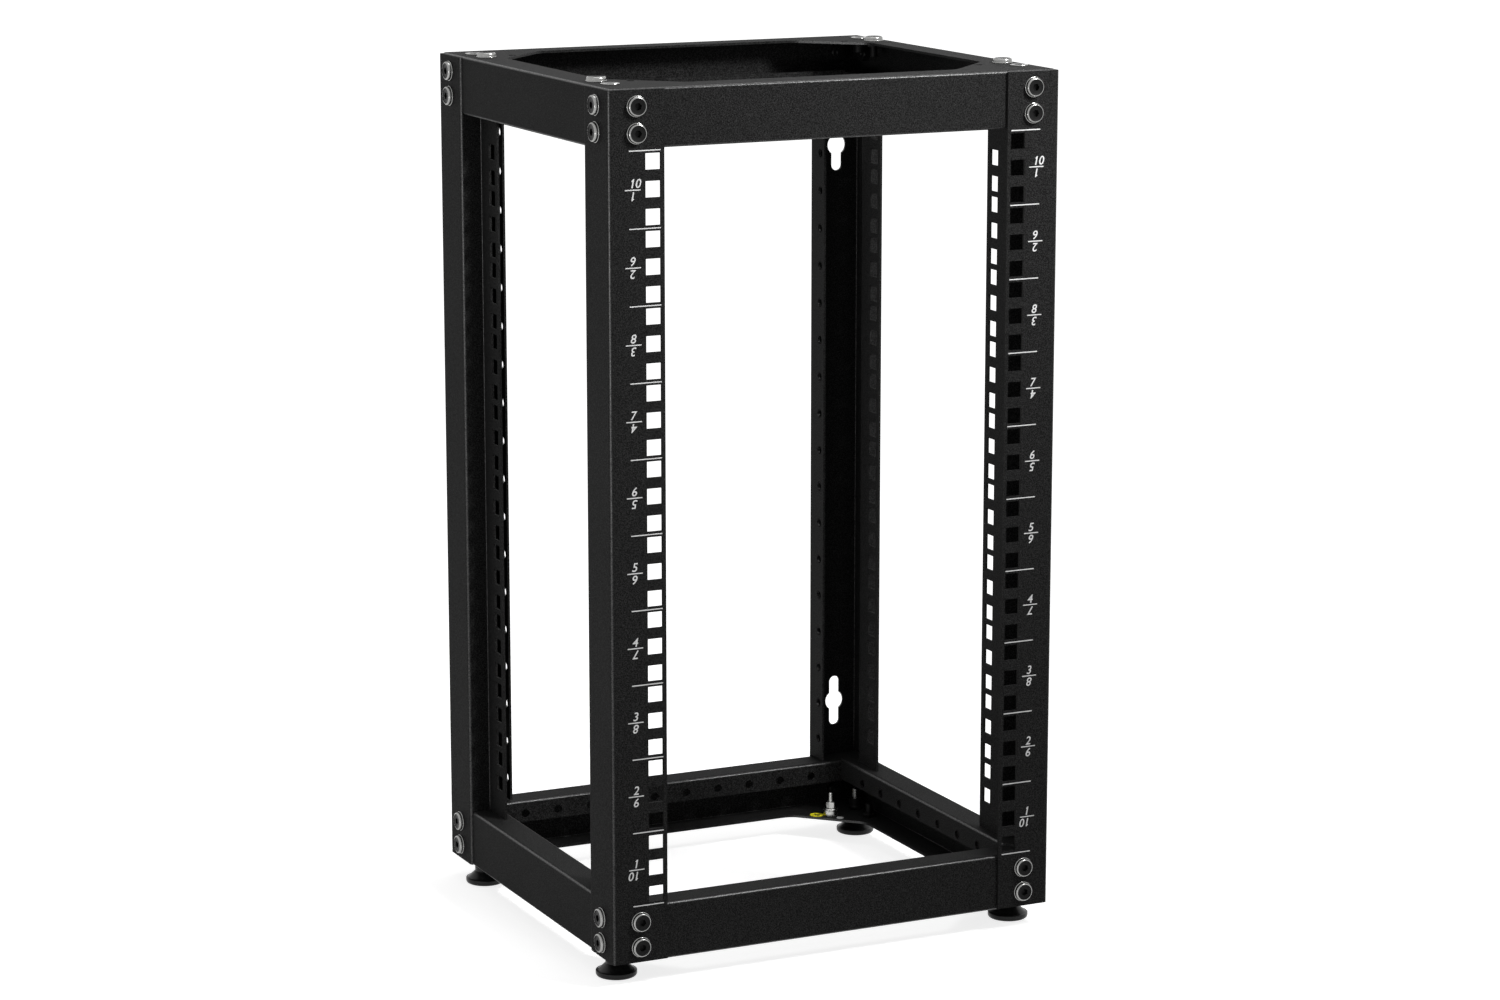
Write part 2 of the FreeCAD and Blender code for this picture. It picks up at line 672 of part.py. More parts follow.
def make_rack():
    """Makes every sub-part of the rack."""
    parts = [
        make_post("front_left_post", about(Z_AXIS, HALF_TURN), False),
        make_post("front_right_post", about(X_AXIS, HALF_TURN), False),
        make_post("back_left_post", about(Y_AXIS, HALF_TURN), True),
        make_post("back_right_post", FreeCAD.Rotation(), True),
    ]
    long_length = size["overall_width"] - size["sheet"] * 2
    side_length = size["overall_depth"] - size["sheet"] * 2
    web_x = half_width - size["sheet"]
    web_y = half_depth - size["sheet"]
    for level, is_top in (("bottom", False), ("top", True)):
        rails = (
            ("front", long_length, (ZERO, -web_y), 0.0, False),
            ("back", long_length, (ZERO, web_y), HALF_TURN, False),
            ("left", side_length, (-web_x, ZERO), -QUARTER_TURN, True),
            ("right", side_length, (web_x, ZERO), QUARTER_TURN, True),
        )
        for side, length, where, angle, is_side in rails:
            label = f"{level}_{side}_rail"
            parts.append(make_rail(label, length, where, about(Z_AXIS, angle), is_top, is_side))
    x = half_width - size["insert_inset_side"]
    y = half_depth - size["insert_inset_face"]
    for face, toward_back in (("front", -1), ("back", 1)):
        for side, toward_right in (("left", -1), ("right", 1)):
            corner = f"{face}_{side}"
            here = (x * toward_right, y * toward_back)
            parts.append(make_insert(f"top_{corner}_insert", *here, True))
            parts.append(make_insert(f"bottom_{corner}_insert", *here, False))
            parts.append(make_stud(f"{corner}_foot_stud", *here))
            parts.append(make_foot(f"{corner}_foot", *here))
    earth = (half_width - size["earth_inset_side"], half_depth - size["earth_inset_face"])
    gusset_top = size["foot_height"] + size["sheet"]
    parts.append(make_earth_stud("earth_stud", *earth, gusset_top))
    parts.append(make_earth_nut("earth_nut", *earth, gusset_top + size["earth_collar_height"]))
    return parts


def check(parts):
    """Stops where an object failed or a sub-part is not one valid solid."""
    for thing in doc.Objects:
        if "Invalid" in thing.State or "Error" in thing.State:
            raise RuntimeError(f"{thing.Name} failed: {thing.State}")
    for part in parts:
        shape = part.Shape
        if shape.isNull() or not shape.isValid() or len(shape.Solids) != 1:
            raise RuntimeError(f"{part.Label} is not one valid solid")


def write(parts):
    """Writes each sub-part to its own file."""
    os.makedirs("parts", exist_ok=True)
    for part in parts:
        part.Shape.exportStep(f"parts/{part.Label}.step")
        print(f"{part.Label}: {part.Shape.Volume:.1f} mm3")


rack = make_rack()
doc.recompute()
check(rack)
write(rack)
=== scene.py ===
"""Studio scene of an open-frame rack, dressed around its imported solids."""
import json
import logging
import math
from dataclasses import dataclass
from enum import Enum
from itertools import product
from typing import Callable, Iterable, Optional, Sequence, Union

import bmesh
import bpy
from mathutils import Matrix, Vector


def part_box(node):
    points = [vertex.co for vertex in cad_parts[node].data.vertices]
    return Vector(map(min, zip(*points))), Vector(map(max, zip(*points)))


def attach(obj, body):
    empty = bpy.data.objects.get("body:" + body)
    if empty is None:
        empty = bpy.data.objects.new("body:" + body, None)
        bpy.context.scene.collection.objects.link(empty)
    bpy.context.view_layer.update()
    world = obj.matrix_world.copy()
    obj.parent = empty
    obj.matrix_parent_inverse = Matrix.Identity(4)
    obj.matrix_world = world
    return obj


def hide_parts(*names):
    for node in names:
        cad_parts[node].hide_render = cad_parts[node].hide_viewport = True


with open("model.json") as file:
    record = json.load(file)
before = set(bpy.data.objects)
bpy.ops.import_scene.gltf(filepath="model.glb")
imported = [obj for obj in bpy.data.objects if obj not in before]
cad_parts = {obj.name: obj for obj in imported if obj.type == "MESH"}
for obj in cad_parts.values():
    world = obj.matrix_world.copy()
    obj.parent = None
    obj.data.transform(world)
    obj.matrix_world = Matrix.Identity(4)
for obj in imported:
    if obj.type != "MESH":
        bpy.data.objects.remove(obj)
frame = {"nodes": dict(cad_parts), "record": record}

LOG = logging.getLogger("rack_scene")
ROOT = "root"
UP = Vector((0.0, 0.0, 1.0))
FULL_TURN = 2.0 * math.pi
HALF_TURN = math.pi
QUARTER_TURN = math.pi / 2.0
ROOT_3 = math.sqrt(3.0)
HEX_SIDES = 6
NOISE_MEAN = 0.5

# Lengths are in metres, and sizes are written in millimetres.
MM = 0.001
# Points nearer than this are merged.
WELD = 0.002 * MM
# A cutting tool stands this far out of what it cuts.
CUT_REACH = 1.0 * MM
# A face whose normal has more of Z than this counts as level.
NEARLY_LEVEL = 0.9
# Facets of a turned piece, and of what trims or bores a nut.
FACETS = 48
NUT_FACETS = 36
# Edges up to these angles, in degrees, are shaded smooth: on turned pieces, and on threads and print.
TURNED_CREASE = 32.0
FINE_CREASE = 24.0

Piece = bpy.types.Object
Paint = bpy.types.Material
Number = Union[int, float]
Operand = Union["Wire", int, float]
Pair = tuple[float, float]
Triple = tuple[float, float, float]
Colour = tuple[float, float, float, float]
Outline = list[Pair]
FaceTest = Callable[[Vector, Vector], bool]
EdgeTest = Callable[[Vector, Vector], bool]


class Level(Enum):
    """The two frames of the rack, with the way that each faces."""

    BOTTOM = ("bottom", -1)
    TOP = ("top", 1)

    def __init__(self, word: str, sign: int) -> None:
        """Keeps what a frame is told apart by.

        Args:
            word: The frame's word in the names of nodes.
            sign: Its sign along Z.
        """
        self.word = word
        self.sign = sign
        self.outward = UP * sign

    def outer_height(self, node: str) -> float:
        """Finds the height of a node's outer face.

        Args:
            node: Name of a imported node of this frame.

        Returns:
            The top of its box in the top frame, or else its bottom.
        """
        low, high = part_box(node)
        return high.z if self is Level.TOP else low.z


class Corner(Enum):
    """The four corners of the rack, with their signs along X and Y."""

    FRONT_LEFT = ("front_left", -1, -1)
    FRONT_RIGHT = ("front_right", 1, -1)
    BACK_LEFT = ("back_left", -1, 1)
    BACK_RIGHT = ("back_right", 1, 1)

    def __init__(self, word: str, right: int, back: int) -> None:
        """Keeps what a corner is told apart by.

        Args:
            word: The corner's words in the names of nodes.
            right: Its sign along X.
            back: Its sign along Y.
        """
        self.word = word
        self.right = right
        self.back = back

    def post_edge(self) -> Vector:
        """Finds the outer edge of the post at this corner.

        Returns:
            The edge's X and Y, and its lowest Z.
        """
        low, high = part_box(f"{self.word}_post")
        return Vector((high.x if self.right > 0 else low.x, high.y if self.back > 0 else low.y, low.z))

    def side_rail(self, level: Level) -> str:
        """Names the side rail of a frame that ends at this corner."""
        return f"{level.word}_{'right' if self.right > 0 else 'left'}_rail"


class Slot(Enum):
    """The record's material slots."""

    POWDER_COAT = "powder_coat"
    BRIGHT_ZINC = "bright_zinc"
    DARK_STEEL = "dark_steel"
    FOOT_PLASTIC = "foot_plastic"


class Wire:
    """A shader socket that takes part in Python arithmetic."""

    def __init__(self, graph: "Graph", socket: Optional[bpy.types.NodeSocket]) -> None:
        """Keeps a socket and the graph that it belongs to."""
        self.graph = graph
        self.socket = socket

    def _math(self, operation: str, first: Operand, second: Operand) -> "Wire":
        """Adds one Math node."""
        return self.graph.node("ShaderNodeMath", {"operation": operation}, {0: first, 1: second})

    def __add__(self, other: Operand) -> "Wire":
        """Adds a value."""
        return self._math("ADD", self, other)

    def __radd__(self, other: Number) -> "Wire":
        """Adds to a number."""
        return self._math("ADD", other, self)

    def __sub__(self, other: Operand) -> "Wire":
        """Takes a value away."""
        return self._math("SUBTRACT", self, other)

    def __rsub__(self, other: Number) -> "Wire":
        """Is taken away from a number."""
        return self._math("SUBTRACT", other, self)

    def __mul__(self, other: Operand) -> "Wire":
        """Multiplies by a value."""
        return self._math("MULTIPLY", self, other)

    def __rmul__(self, other: Number) -> "Wire":
        """Multiplies a number."""
        return self._math("MULTIPLY", other, self)

    def highest(self, other: Operand) -> "Wire":
        """Keeps the larger of two values."""
        return self._math("MAXIMUM", self, other)

    def mingle(self, other: "Wire", share: float) -> "Wire":
        """Takes a share of this noise, and the rest from another one."""
        return self * share + other * (1.0 - share)

    def swing(self, amount: float) -> "Wire":
        """Turns a noise into a value that varies about zero."""
        return (self - NOISE_MEAN) * amount


class Graph:
    """The node tree of a material or of the world."""

    def __init__(self, tree: bpy.types.NodeTree) -> None:
        """Empties a tree and keeps it."""
        self.tree = tree
        tree.nodes.clear()

    def node(self, kind: str, settings: Optional[dict] = None, inputs: Optional[dict] = None,
             output: Union[int, str] = 0) -> Wire:
        """Adds a node.

        Args:
            kind: The node's type.
            settings: Its properties, set first; "stops" gives a ramp's places and colours.
            inputs: Values or wires for its sockets, by name or number.
            output: Which of its outputs is handed back.

        Returns:
            The chosen output, or an empty wire where the node has none.
        """
        made = self.tree.nodes.new(kind)
        for name, value in (settings or {}).items():
            if name == "stops":
                self._set_stops(made.color_ramp, value)
            else:
                setattr(made, name, value)
        for name, value in (inputs or {}).items():
            if isinstance(value, Wire):
                self.tree.links.new(value.socket, made.inputs[name])
            else:
                made.inputs[name].default_value = value
        return Wire(self, made.outputs[output] if len(made.outputs) else None)

    @staticmethod
    def _set_stops(ramp: bpy.types.ColorRamp, stops: Sequence[tuple[float, Colour]]) -> None:
        """Gives a ramp its places and colours.

        Args:
            ramp: The ramp of a node.
            stops: Place and colour of each stop, in order.
        """
        while len(ramp.elements) < len(stops):
            ramp.elements.new(1.0)
        for element, (place, colour) in zip(ramp.elements, stops):
            element.position = place
            element.color = colour

    def noise(self, scale: float, detail: float) -> Wire:
        """Adds a noise over the piece's own coordinates.

        Args:
            scale: Features in a metre.
            detail: Octaves.

        Returns:
            The noise's value, about 0.5 on average.
        """
        place = self.node("ShaderNodeTexCoord", output="Object")
        inputs = {"Vector": place, "Scale": scale, "Detail": detail}
        return self.node("ShaderNodeTexNoise", {"noise_dimensions": "3D"}, inputs)

    def blend(self, amount: Wire, first: Colour, second: Colour, start: float = 0.0,
              end: float = 1.0) -> Wire:
        """Mixes two colours by a value.

        Args:
            amount: The value.
            first: Colour at the start.
            second: Colour at the end.
            start: Value that still gives the first colour alone.
            end: Value that gives the second colour alone.

        Returns:
            The mixed colour.
        """
        settings = {"stops": ((start, first), (end, second))}
        return self.node("ShaderNodeValToRGB", settings, {"Fac": amount}, "Color")

    def lift(self, colour: Wire, amount: Wire, light: Colour) -> Wire:
        """Adds light to a colour by a value.

        Args:
            colour: The colour to lift.
            amount: Share of the light that is added.
            light: Colour that an amount of 1 adds.

        Returns:
            The lifted colour.
        """
        settings = {"data_type": "RGBA", "blend_type": "ADD"}
        inputs = {"Factor": amount, "A": colour, "B": light}
        return self.node("ShaderNodeMix", settings, inputs, "Result")

    def folds(self) -> Wire:
        """Finds the folds between a piece's level and upright faces.

        Returns:
            0 on the flat faces, up to 1 where a fold leans half-way.
        """
        normal = self.node("ShaderNodeTexCoord", output="Normal")
        square = self.node("ShaderNodeVectorMath", {"operation": "MULTIPLY"}, {0: normal, 1: normal},
                           "Vector")
        flatness = self.node("ShaderNodeVectorMath", {"operation": "DOT_PRODUCT"}, {0: square, 1: square},
                             "Value")
        return (1.0 - flatness) * 2.0

    def bump(self, height: Wire, strength: float, depth: float) -> Wire:
        """Turns a height into a surface normal.

        Args:
            height: Values from 0 to 1.
            strength: Share of the effect.
            depth: Height that a value of 1 stands for, in metres.

        Returns:
            The normal.
        """
        return self.node("ShaderNodeBump", None, {"Height": height, "Strength": strength, "Distance": depth})


def grey(value: float) -> Colour:
    """A neutral colour."""
    return (value, value, value, 1.0)


def new_graph(name: str) -> tuple[Paint, Graph]:
    """Adds an empty node material.

    Args:
        name: The material's name.

    Returns:
        The material and its graph.
    """
    material = bpy.data.materials.new(name)
    material.use_nodes = True
    return material, Graph(material.node_tree)


def finish_surface(graph: Graph, inputs: dict) -> None:
    """Ends a material in one principled surface.

    Args:
        graph: The material's graph.
        inputs: Values or wires for the surface's sockets.
    """
    surface = graph.node("ShaderNodeBsdfPrincipled", None, inputs, "BSDF")
    graph.node("ShaderNodeOutputMaterial", None, {"Surface": surface})


@dataclass(frozen=True)
class PowderCoat:
    """Black powder coat with a fine, even grain, that lies smoother over the folds, and a painted highlight
    that lightens its colour along the folds.
    """

    name: str = "black_powder_coat"
    dark: float = 0.003
    light: float = 0.039
    dark_until: float = 0.4
    light_from: float = 0.74
    roughness: float = 0.68
    specular: float = 0.045
    grain_scale: float = 1600.0
    grain_share: float = 0.7
    grain_depth: float = 0.12 * MM
    grain_strength: float = 0.6
    grain_matt: float = 0.2
    ripple_scale: float = 3600.0
    cloud_scale: float = 14.0
    cloud_matt: float = 0.08
    fold_tone: float = 0.008
    fold_gloss: float = 0.85
    fold_sparkle: float = 4.0
    fold_roughness: float = 0.3

    def material(self) -> Paint:
        """Makes the finish.

        Returns:
            The material.
        """
        material, graph = new_graph(self.name)
        grain = graph.noise(self.grain_scale, detail=1.0)
        ripple = graph.noise(self.ripple_scale, detail=2.0)
        cloud = graph.noise(self.cloud_scale, detail=3.0)
        relief = grain.mingle(ripple, self.grain_share)
        folds = graph.folds()
        crest = folds * folds
        speckle = graph.blend(relief, grey(self.dark), grey(self.light), self.dark_until, self.light_from)
        sparkle = relief * self.fold_sparkle - (self.fold_sparkle * NOISE_MEAN - 1.0)
        finish_surface(graph, {
            # The folds' colour is lifted lighter: a painted highlight along every fold.
            "Base Color": graph.lift(speckle, crest, grey(self.fold_tone)),
            "Roughness": self.roughness + grain.swing(self.grain_matt) + cloud.swing(self.cloud_matt),
            "Specular IOR Level": self.specular,
            "Coat Weight": crest * self.fold_gloss * sparkle,
            "Coat Roughness": self.fold_roughness,
            "Normal": graph.bump(relief, self.grain_strength, self.grain_depth),
        })
        return material


@dataclass(frozen=True)
class PlatedSteel:
    """Turned and plated steel, bright or blackened."""

    name: str
    dark: Colour
    light: Colour
    roughness: float
    metallic: float = 1.0
    specular: float = 0.5
    stain_scale: float = 260.0
    stain_matt: float = 0.16
    turning_scale: float = 2600.0
    turning_matt: float = 0.08
    turning_strength: float = 0.25
    turning_depth: float = 0.012 * MM

    def material(self) -> Paint:
        """Makes the finish.

        Returns:
            The material.
        """
        material, graph = new_graph(self.name)
        stain = graph.noise(self.stain_scale, detail=4.0)
        turning = graph.noise(self.turning_scale, detail=2.0)
        finish_surface(graph, {
            "Base Color": graph.blend(stain, self.dark, self.light),
            "Metallic": self.metallic,
            "Specular IOR Level": self.specular,
            "Roughness": self.roughness + stain.swing(self.stain_matt) + turning.swing(self.turning_matt),
            "Normal": graph.bump(turning, self.turning_strength, self.turning_depth),
        })
        return material


@dataclass(frozen=True)
class MouldedPlastic:
    """Matt black plastic with the fine spark texture of its mould."""

    name: str = "moulded_black_plastic"
    dark: float = 0.008
    light: float = 0.014
    roughness: float = 0.32
    specular: float = 0.22
    dust_scale: float = 90.0
    dust_share: float = 0.7
    dust_matt: float = 0.2
    texture_scale: float = 2100.0
    texture_strength: float = 0.3
    texture_depth: float = 0.05 * MM

    def material(self) -> Paint:
        """Makes the finish.

        Returns:
            The material.
        """
        material, graph = new_graph(self.name)
        texture = graph.noise(self.texture_scale, detail=2.0)
        dust = graph.noise(self.dust_scale, detail=4.0)
        tone = dust.mingle(texture, self.dust_share)
        finish_surface(graph, {
            "Base Color": graph.blend(tone, grey(self.dark), grey(self.light)),
            "Roughness": self.roughness + dust.swing(self.dust_matt),
            "Specular IOR Level": self.specular,
            "Normal": graph.bump(texture, self.texture_strength, self.texture_depth),
        })
        return material


@dataclass(frozen=True)
class PrintedInk:
    """Screen-printed ink, a little thin in places."""

    name: str
    thin: Colour
    full: Colour
    roughness: float = 0.55
    cover_scale: float = 500.0
    cover_share: float = 0.65
    mesh_scale: float = 2400.0
    mesh_matt: float = 0.2
    mesh_strength: float = 0.2
    mesh_depth: float = 0.02 * MM

    def material(self) -> Paint:
        """Makes the finish.

        Returns:
            The material.
        """
        material, graph = new_graph(self.name)
        mesh = graph.noise(self.mesh_scale, detail=2.0)
        cover = graph.noise(self.cover_scale, detail=3.0)
        finish_surface(graph, {
            "Base Color": graph.blend(cover.mingle(mesh, self.cover_share), self.thin, self.full),
            "Roughness": self.roughness + mesh.swing(self.mesh_matt),
            "Normal": graph.bump(mesh, self.mesh_strength, self.mesh_depth),
        })
        return material


@dataclass(frozen=True)
class Finishes:
    """Every finish on the rack, made once."""

    powder: Paint
    zinc: Paint
    nickel: Paint
    tin: Paint
    black_steel: Paint
    plastic: Paint
    white_ink: Paint
    yellow_ink: Paint
    black_ink: Paint

    @classmethod
    def make(cls) -> "Finishes":
        """Makes the materials.

        Returns:
            The set of finishes.
        """
        zinc = PlatedSteel("bright_zinc_plate", (0.22, 0.22, 0.216, 1.0), (0.38, 0.38, 0.372, 1.0), 0.22)
        nickel = PlatedSteel("bright_nickel_plate", (0.46, 0.46, 0.45, 1.0), (0.68, 0.68, 0.66, 1.0), 0.26)
        tin = PlatedSteel("matt_tin_plate", grey(0.62), grey(0.82), 0.6, metallic=0.3)
        # Dark steel, which also serves as painted shade inside the inserts' bores.
        black = PlatedSteel("blackened_steel_and_painted_shade", grey(0.004), grey(0.012), 0.4, metallic=0.1, specular=0.085)
        white = PrintedInk("white_ink", grey(0.58), grey(0.78))
        yellow = PrintedInk("yellow_ink", (0.84, 0.72, 0.012, 1.0), (0.95, 0.86, 0.02, 1.0))
        mark = PrintedInk("black_ink", grey(0.006), grey(0.012))
        order = (PowderCoat(), zinc, nickel, tin, black, MouldedPlastic(), white, yellow, mark)
        return cls(*(finish.material() for finish in order))


class Bench:
    """Blender's modelling operators, used on one piece at a time."""

    @staticmethod
    def take(piece: Piece) -> None:
        """Selects one piece alone and makes it active.

        Args:
            piece: The piece to work on.
        """
        if bpy.context.mode != "OBJECT":
            bpy.ops.object.mode_set(mode="OBJECT")
        bpy.ops.object.select_all(action="DESELECT")
        piece.select_set(True)
        bpy.context.view_layer.objects.active = piece

    @staticmethod
    def open(piece: Piece, kind: str) -> None:
        """Goes into edit mode with nothing selected.

        Args:
            piece: The piece to work on.
            kind: VERT, EDGE or FACE.
        """
        Bench.take(piece)
        bpy.ops.object.mode_set(mode="EDIT")
        bpy.ops.mesh.select_mode(type=kind)
        bpy.ops.mesh.select_all(action="DESELECT")

    @staticmethod
    def close() -> None:
        """Goes back to object mode."""
        bpy.ops.object.mode_set(mode="OBJECT")

    @staticmethod
    def rename(piece: Piece, name: str) -> None:
        """Names a piece and its mesh."""
        piece.name = name
        piece.data.name = name

    @staticmethod
    def settle(name: str) -> Piece:
        """Names the active piece and moves its place into its mesh.

        Args:
            name: The piece's name.

        Returns:
            The piece.
        """
        piece = bpy.context.object
        Bench.rename(piece, name)
        bpy.ops.object.transform_apply(location=True, rotation=True, scale=True)
        return piece

    @staticmethod
    def place(piece: Piece, where: Matrix) -> None:
        """Moves a piece, with the move in its mesh.

        Args:
            piece: The piece to move.
            where: The matrix of its place.
        """
        Bench.take(piece)
        piece.matrix_world = where
        bpy.ops.object.transform_apply(location=True, rotation=True, scale=True)

    @staticmethod
    def plane(name: str, size: float) -> Piece:
        """Adds a level square about the origin.

        Args:
            name: The piece's name.
            size: Length of its sides.

        Returns:
            The new piece.
        """
        bpy.ops.object.select_all(action="DESELECT")
        bpy.ops.mesh.primitive_plane_add(size=size)
        return Bench.settle(name)

    @staticmethod
    def cylinder(name: str, radius: float, low: float, high: float, sides: int) -> Piece:
        """Adds an upright cylinder on the Z axis.

        Args:
            name: The piece's name.
            radius: Its radius.
            low: Height of its lower face.
            high: Height of its upper face.
            sides: Number of its sides.

        Returns:
            The new piece, with its place in its mesh.
        """
        bpy.ops.object.select_all(action="DESELECT")
        bpy.ops.mesh.primitive_cylinder_add(vertices=sides, radius=radius, depth=high - low,
                                            location=(0.0, 0.0, (low + high) / 2.0))
        return Bench.settle(name)

    @staticmethod
    def block(name: str, low: Vector, high: Vector) -> Piece:
        """Adds a block between two corners.

        Args:
            name: The piece's name.
            low: Its lowest corner.
            high: Its highest corner.

        Returns:
            The new piece, with its place in its mesh.
        """
        bpy.ops.object.select_all(action="DESELECT")
        bpy.ops.mesh.primitive_cube_add(size=1.0, location=(low + high) / 2.0)
        bpy.context.object.scale = high - low
        return Bench.settle(name)

    @staticmethod
    def profile(name: str, points: Outline) -> Piece:
        """Draws a line of radius and height by extruding one point.

        Args:
            name: The piece's name.
            points: Radius and height of each point.

        Returns:
            The new piece, a line in the XZ plane.
        """
        piece = Bench.plane(name, 1.0)
        Bench.open(piece, "VERT")
        bpy.ops.mesh.select_all(action="SELECT")
        bpy.ops.mesh.merge(type="CENTER")
        bpy.ops.transform.translate(value=(points[0][0], 0.0, points[0][1]))
        for before, after in zip(points, points[1:]):
            step = (after[0] - before[0], 0.0, after[1] - before[1])
            bpy.ops.mesh.extrude_region_move(TRANSFORM_OT_translate={"value": step})
        Bench.close()
        return piece

    @staticmethod
    def lathe(name: str, points: Outline, facets: int = FACETS) -> Piece:
        """Spins a line of radius and height about the Z axis.

        Args:
            name: The piece's name.
            points: Radius and height of each point.
            facets: Facets in the full turn.

        Returns:
            The new piece.
        """
        piece = Bench.profile(name, points)
        Bench.open(piece, "VERT")
        bpy.ops.mesh.select_all(action="SELECT")
        bpy.ops.mesh.spin(steps=facets, angle=FULL_TURN, center=(0.0, 0.0, 0.0), axis=UP)
        Bench.weld(WELD)
        Bench.turn_out()
        Bench.close()
        return piece

    @staticmethod
    def weld(distance: float) -> None:
        """Merges the points that lie together, in edit mode."""
        bpy.ops.mesh.select_all(action="SELECT")
        bpy.ops.mesh.remove_doubles(threshold=distance)

    @staticmethod
    def turn_out() -> None:
        """Turns every face outward, in edit mode."""
        bpy.ops.mesh.select_all(action="SELECT")
        bpy.ops.mesh.normals_make_consistent(inside=False)

    @staticmethod
    def pick_faces(piece: Piece, test: FaceTest) -> None:
        """Selects the faces that pass a test, in edit mode.

        Args:
            piece: The piece in edit mode.
            test: Says of a face's middle and normal whether it is selected.
        """
        mesh = bmesh.from_edit_mesh(piece.data)
        for face in mesh.faces:
            face.select_set(test(face.calc_center_median(), face.normal))
        mesh.select_flush_mode()
        bmesh.update_edit_mesh(piece.data)

    @staticmethod
    def pick_edges(piece: Piece, test: EdgeTest) -> None:
        """Selects the edges that pass a test, in edit mode.

        Args:
            piece: The piece in edit mode.
            test: Says of an edge's two ends whether it is selected.
        """
        mesh = bmesh.from_edit_mesh(piece.data)
        for edge in mesh.edges:
            edge.select_set(test(edge.verts[0].co, edge.verts[1].co))
        mesh.select_flush_mode()
        bmesh.update_edit_mesh(piece.data)

    @staticmethod
    def bevel_edges(piece: Piece, test: EdgeTest, width: float, segments: int) -> None:
        """Bevels the edges that pass a test.

        Args:
            piece: The piece to work on.
            test: Says of an edge's two ends whether it is bevelled.
            width: Width of the bevel.
            segments: Facets of the bevel.
        """
        Bench.open(piece, "EDGE")
        Bench.pick_edges(piece, test)
        bpy.ops.mesh.bevel(offset=width, offset_type="OFFSET", segments=segments, profile=0.5)
        Bench.close()

    @staticmethod
    def combine(piece: Piece, tool: Piece, operation: str) -> None:
        """Cuts or trims a piece with another one, which is used up.

        Args:
            piece: The piece that stays.
            tool: The piece that cuts.
            operation: DIFFERENCE or INTERSECT.
        """
        Bench.take(piece)
        modifier = piece.modifiers.new("combine", "BOOLEAN")
        modifier.operation = operation
        modifier.solver = "EXACT"
        modifier.object = tool
        bpy.ops.object.modifier_apply(modifier=modifier.name)
        Bench.discard(tool)

    @staticmethod
    def join(name: str, pieces: Sequence[Piece]) -> Piece:
        """Joins pieces into one object.

        Args:
            name: Name of the joined piece.
            pieces: The pieces, the first of which stays.

        Returns:
            The joined piece.
        """
        Bench.take(pieces[0])
        for piece in pieces:
            piece.select_set(True)
        bpy.ops.object.join()
        Bench.rename(pieces[0], name)
        return pieces[0]

    @staticmethod
    def copy(piece: Piece, name: str, where: Matrix) -> Piece:
        """Copies a piece with its own mesh, and puts it in place.

        Args:
            piece: The piece to copy.
            name: The copy's name.
            where: The matrix of the copy's place.

        Returns:
            The copy, with its place in its mesh.
        """
        made = piece.copy()
        made.data = piece.data.copy()
        Bench.rename(made, name)
        bpy.context.scene.collection.objects.link(made)
        Bench.place(made, where)
        return made

    @staticmethod
    def smooth(piece: Piece, degrees: float = TURNED_CREASE) -> None:
        """Shades a piece smooth across its edges of up to an angle."""
        Bench.take(piece)
        bpy.ops.object.shade_smooth_by_angle(angle=math.radians(degrees))

    @staticmethod
    def paint(piece: Piece, paints: Sequence[Paint]) -> None:
        """Gives a piece its materials, the first of them all over.

        Args:
            piece: The piece to paint.
            paints: Its materials.
        """
        piece.data.materials.clear()
        for paint in paints:
            piece.data.materials.append(paint)

    @staticmethod
    def paint_faces(piece: Piece, test: FaceTest) -> None:
        """Gives the faces that pass a test the piece's second material.

        Args:
            piece: The painted piece.
            test: Says of a face's middle and normal whether it is painted.
        """
        for face in piece.data.polygons:
            if test(face.center, face.normal):
                face.material_index = 1

    @staticmethod
    def discard(piece: Piece) -> None:
        """Removes a piece that has been used."""
        bpy.data.objects.remove(piece)


def arc(middle: Pair, reach: Pair, start: float, end: float, steps: int) -> Outline:
    """Draws a part of an ellipse.

    Args:
        middle: Radius and height of its middle.
        reach: Its half-axes along the radius and the height.
        start: First angle, from the direction of the radius.
        end: Last angle.
        steps: Number of steps between them.

    Returns:
        Radius and height of each point, with both ends.
    """
    angles = [start + (end - start) * step / steps for step in range(steps + 1)]
    return [(middle[0] + reach[0] * math.cos(angle), middle[1] + reach[1] * math.sin(angle))
            for angle in angles]


def rounded(radius: float, height: float, size: float, cut: float) -> Outline:
    """Rounds an outer upper edge in two facets.

    Args:
        radius: Radius of the edge.
        height: Its height.
        size: How far the rounding reaches down and in.
        cut: How far its middle lies down and in.

    Returns:
        Radius and height of three points, from the side to the top.
    """
    return [(radius, height - size), (radius - cut, height - cut), (radius - size, height)]


def trim_corners(nut: Piece, radius: float, lower: Triple, upper: Triple) -> None:
    """Chamfers the corners of a hexagon at both of its faces.

    Args:
        nut: The hexagon, on the Z axis.
        radius: Radius just past its corners.
        lower: Height of the lower face, radius of its flat and height of its chamfer.
        upper: The same of the upper face.
    """
    low, low_flat, low_slope = lower
    high, high_flat, high_slope = upper
    bowl = Bench.lathe("bowl", [(0.0, low), (low_flat, low), (radius, low + low_slope),
                                (radius, high - high_slope), (high_flat, high), (0.0, high)], NUT_FACETS)
    Bench.combine(nut, bowl, "INTERSECT")


def radius_of(node: str) -> float:
    """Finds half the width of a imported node."""
    low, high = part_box(node)
    return (high.x - low.x) / 2.0


def middle_of(node: str, height: float = 0.0) -> Vector:
    """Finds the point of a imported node's upright axis at a height."""
    low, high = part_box(node)
    return Vector(((low.x + high.x) / 2.0, (low.y + high.y) / 2.0, height))


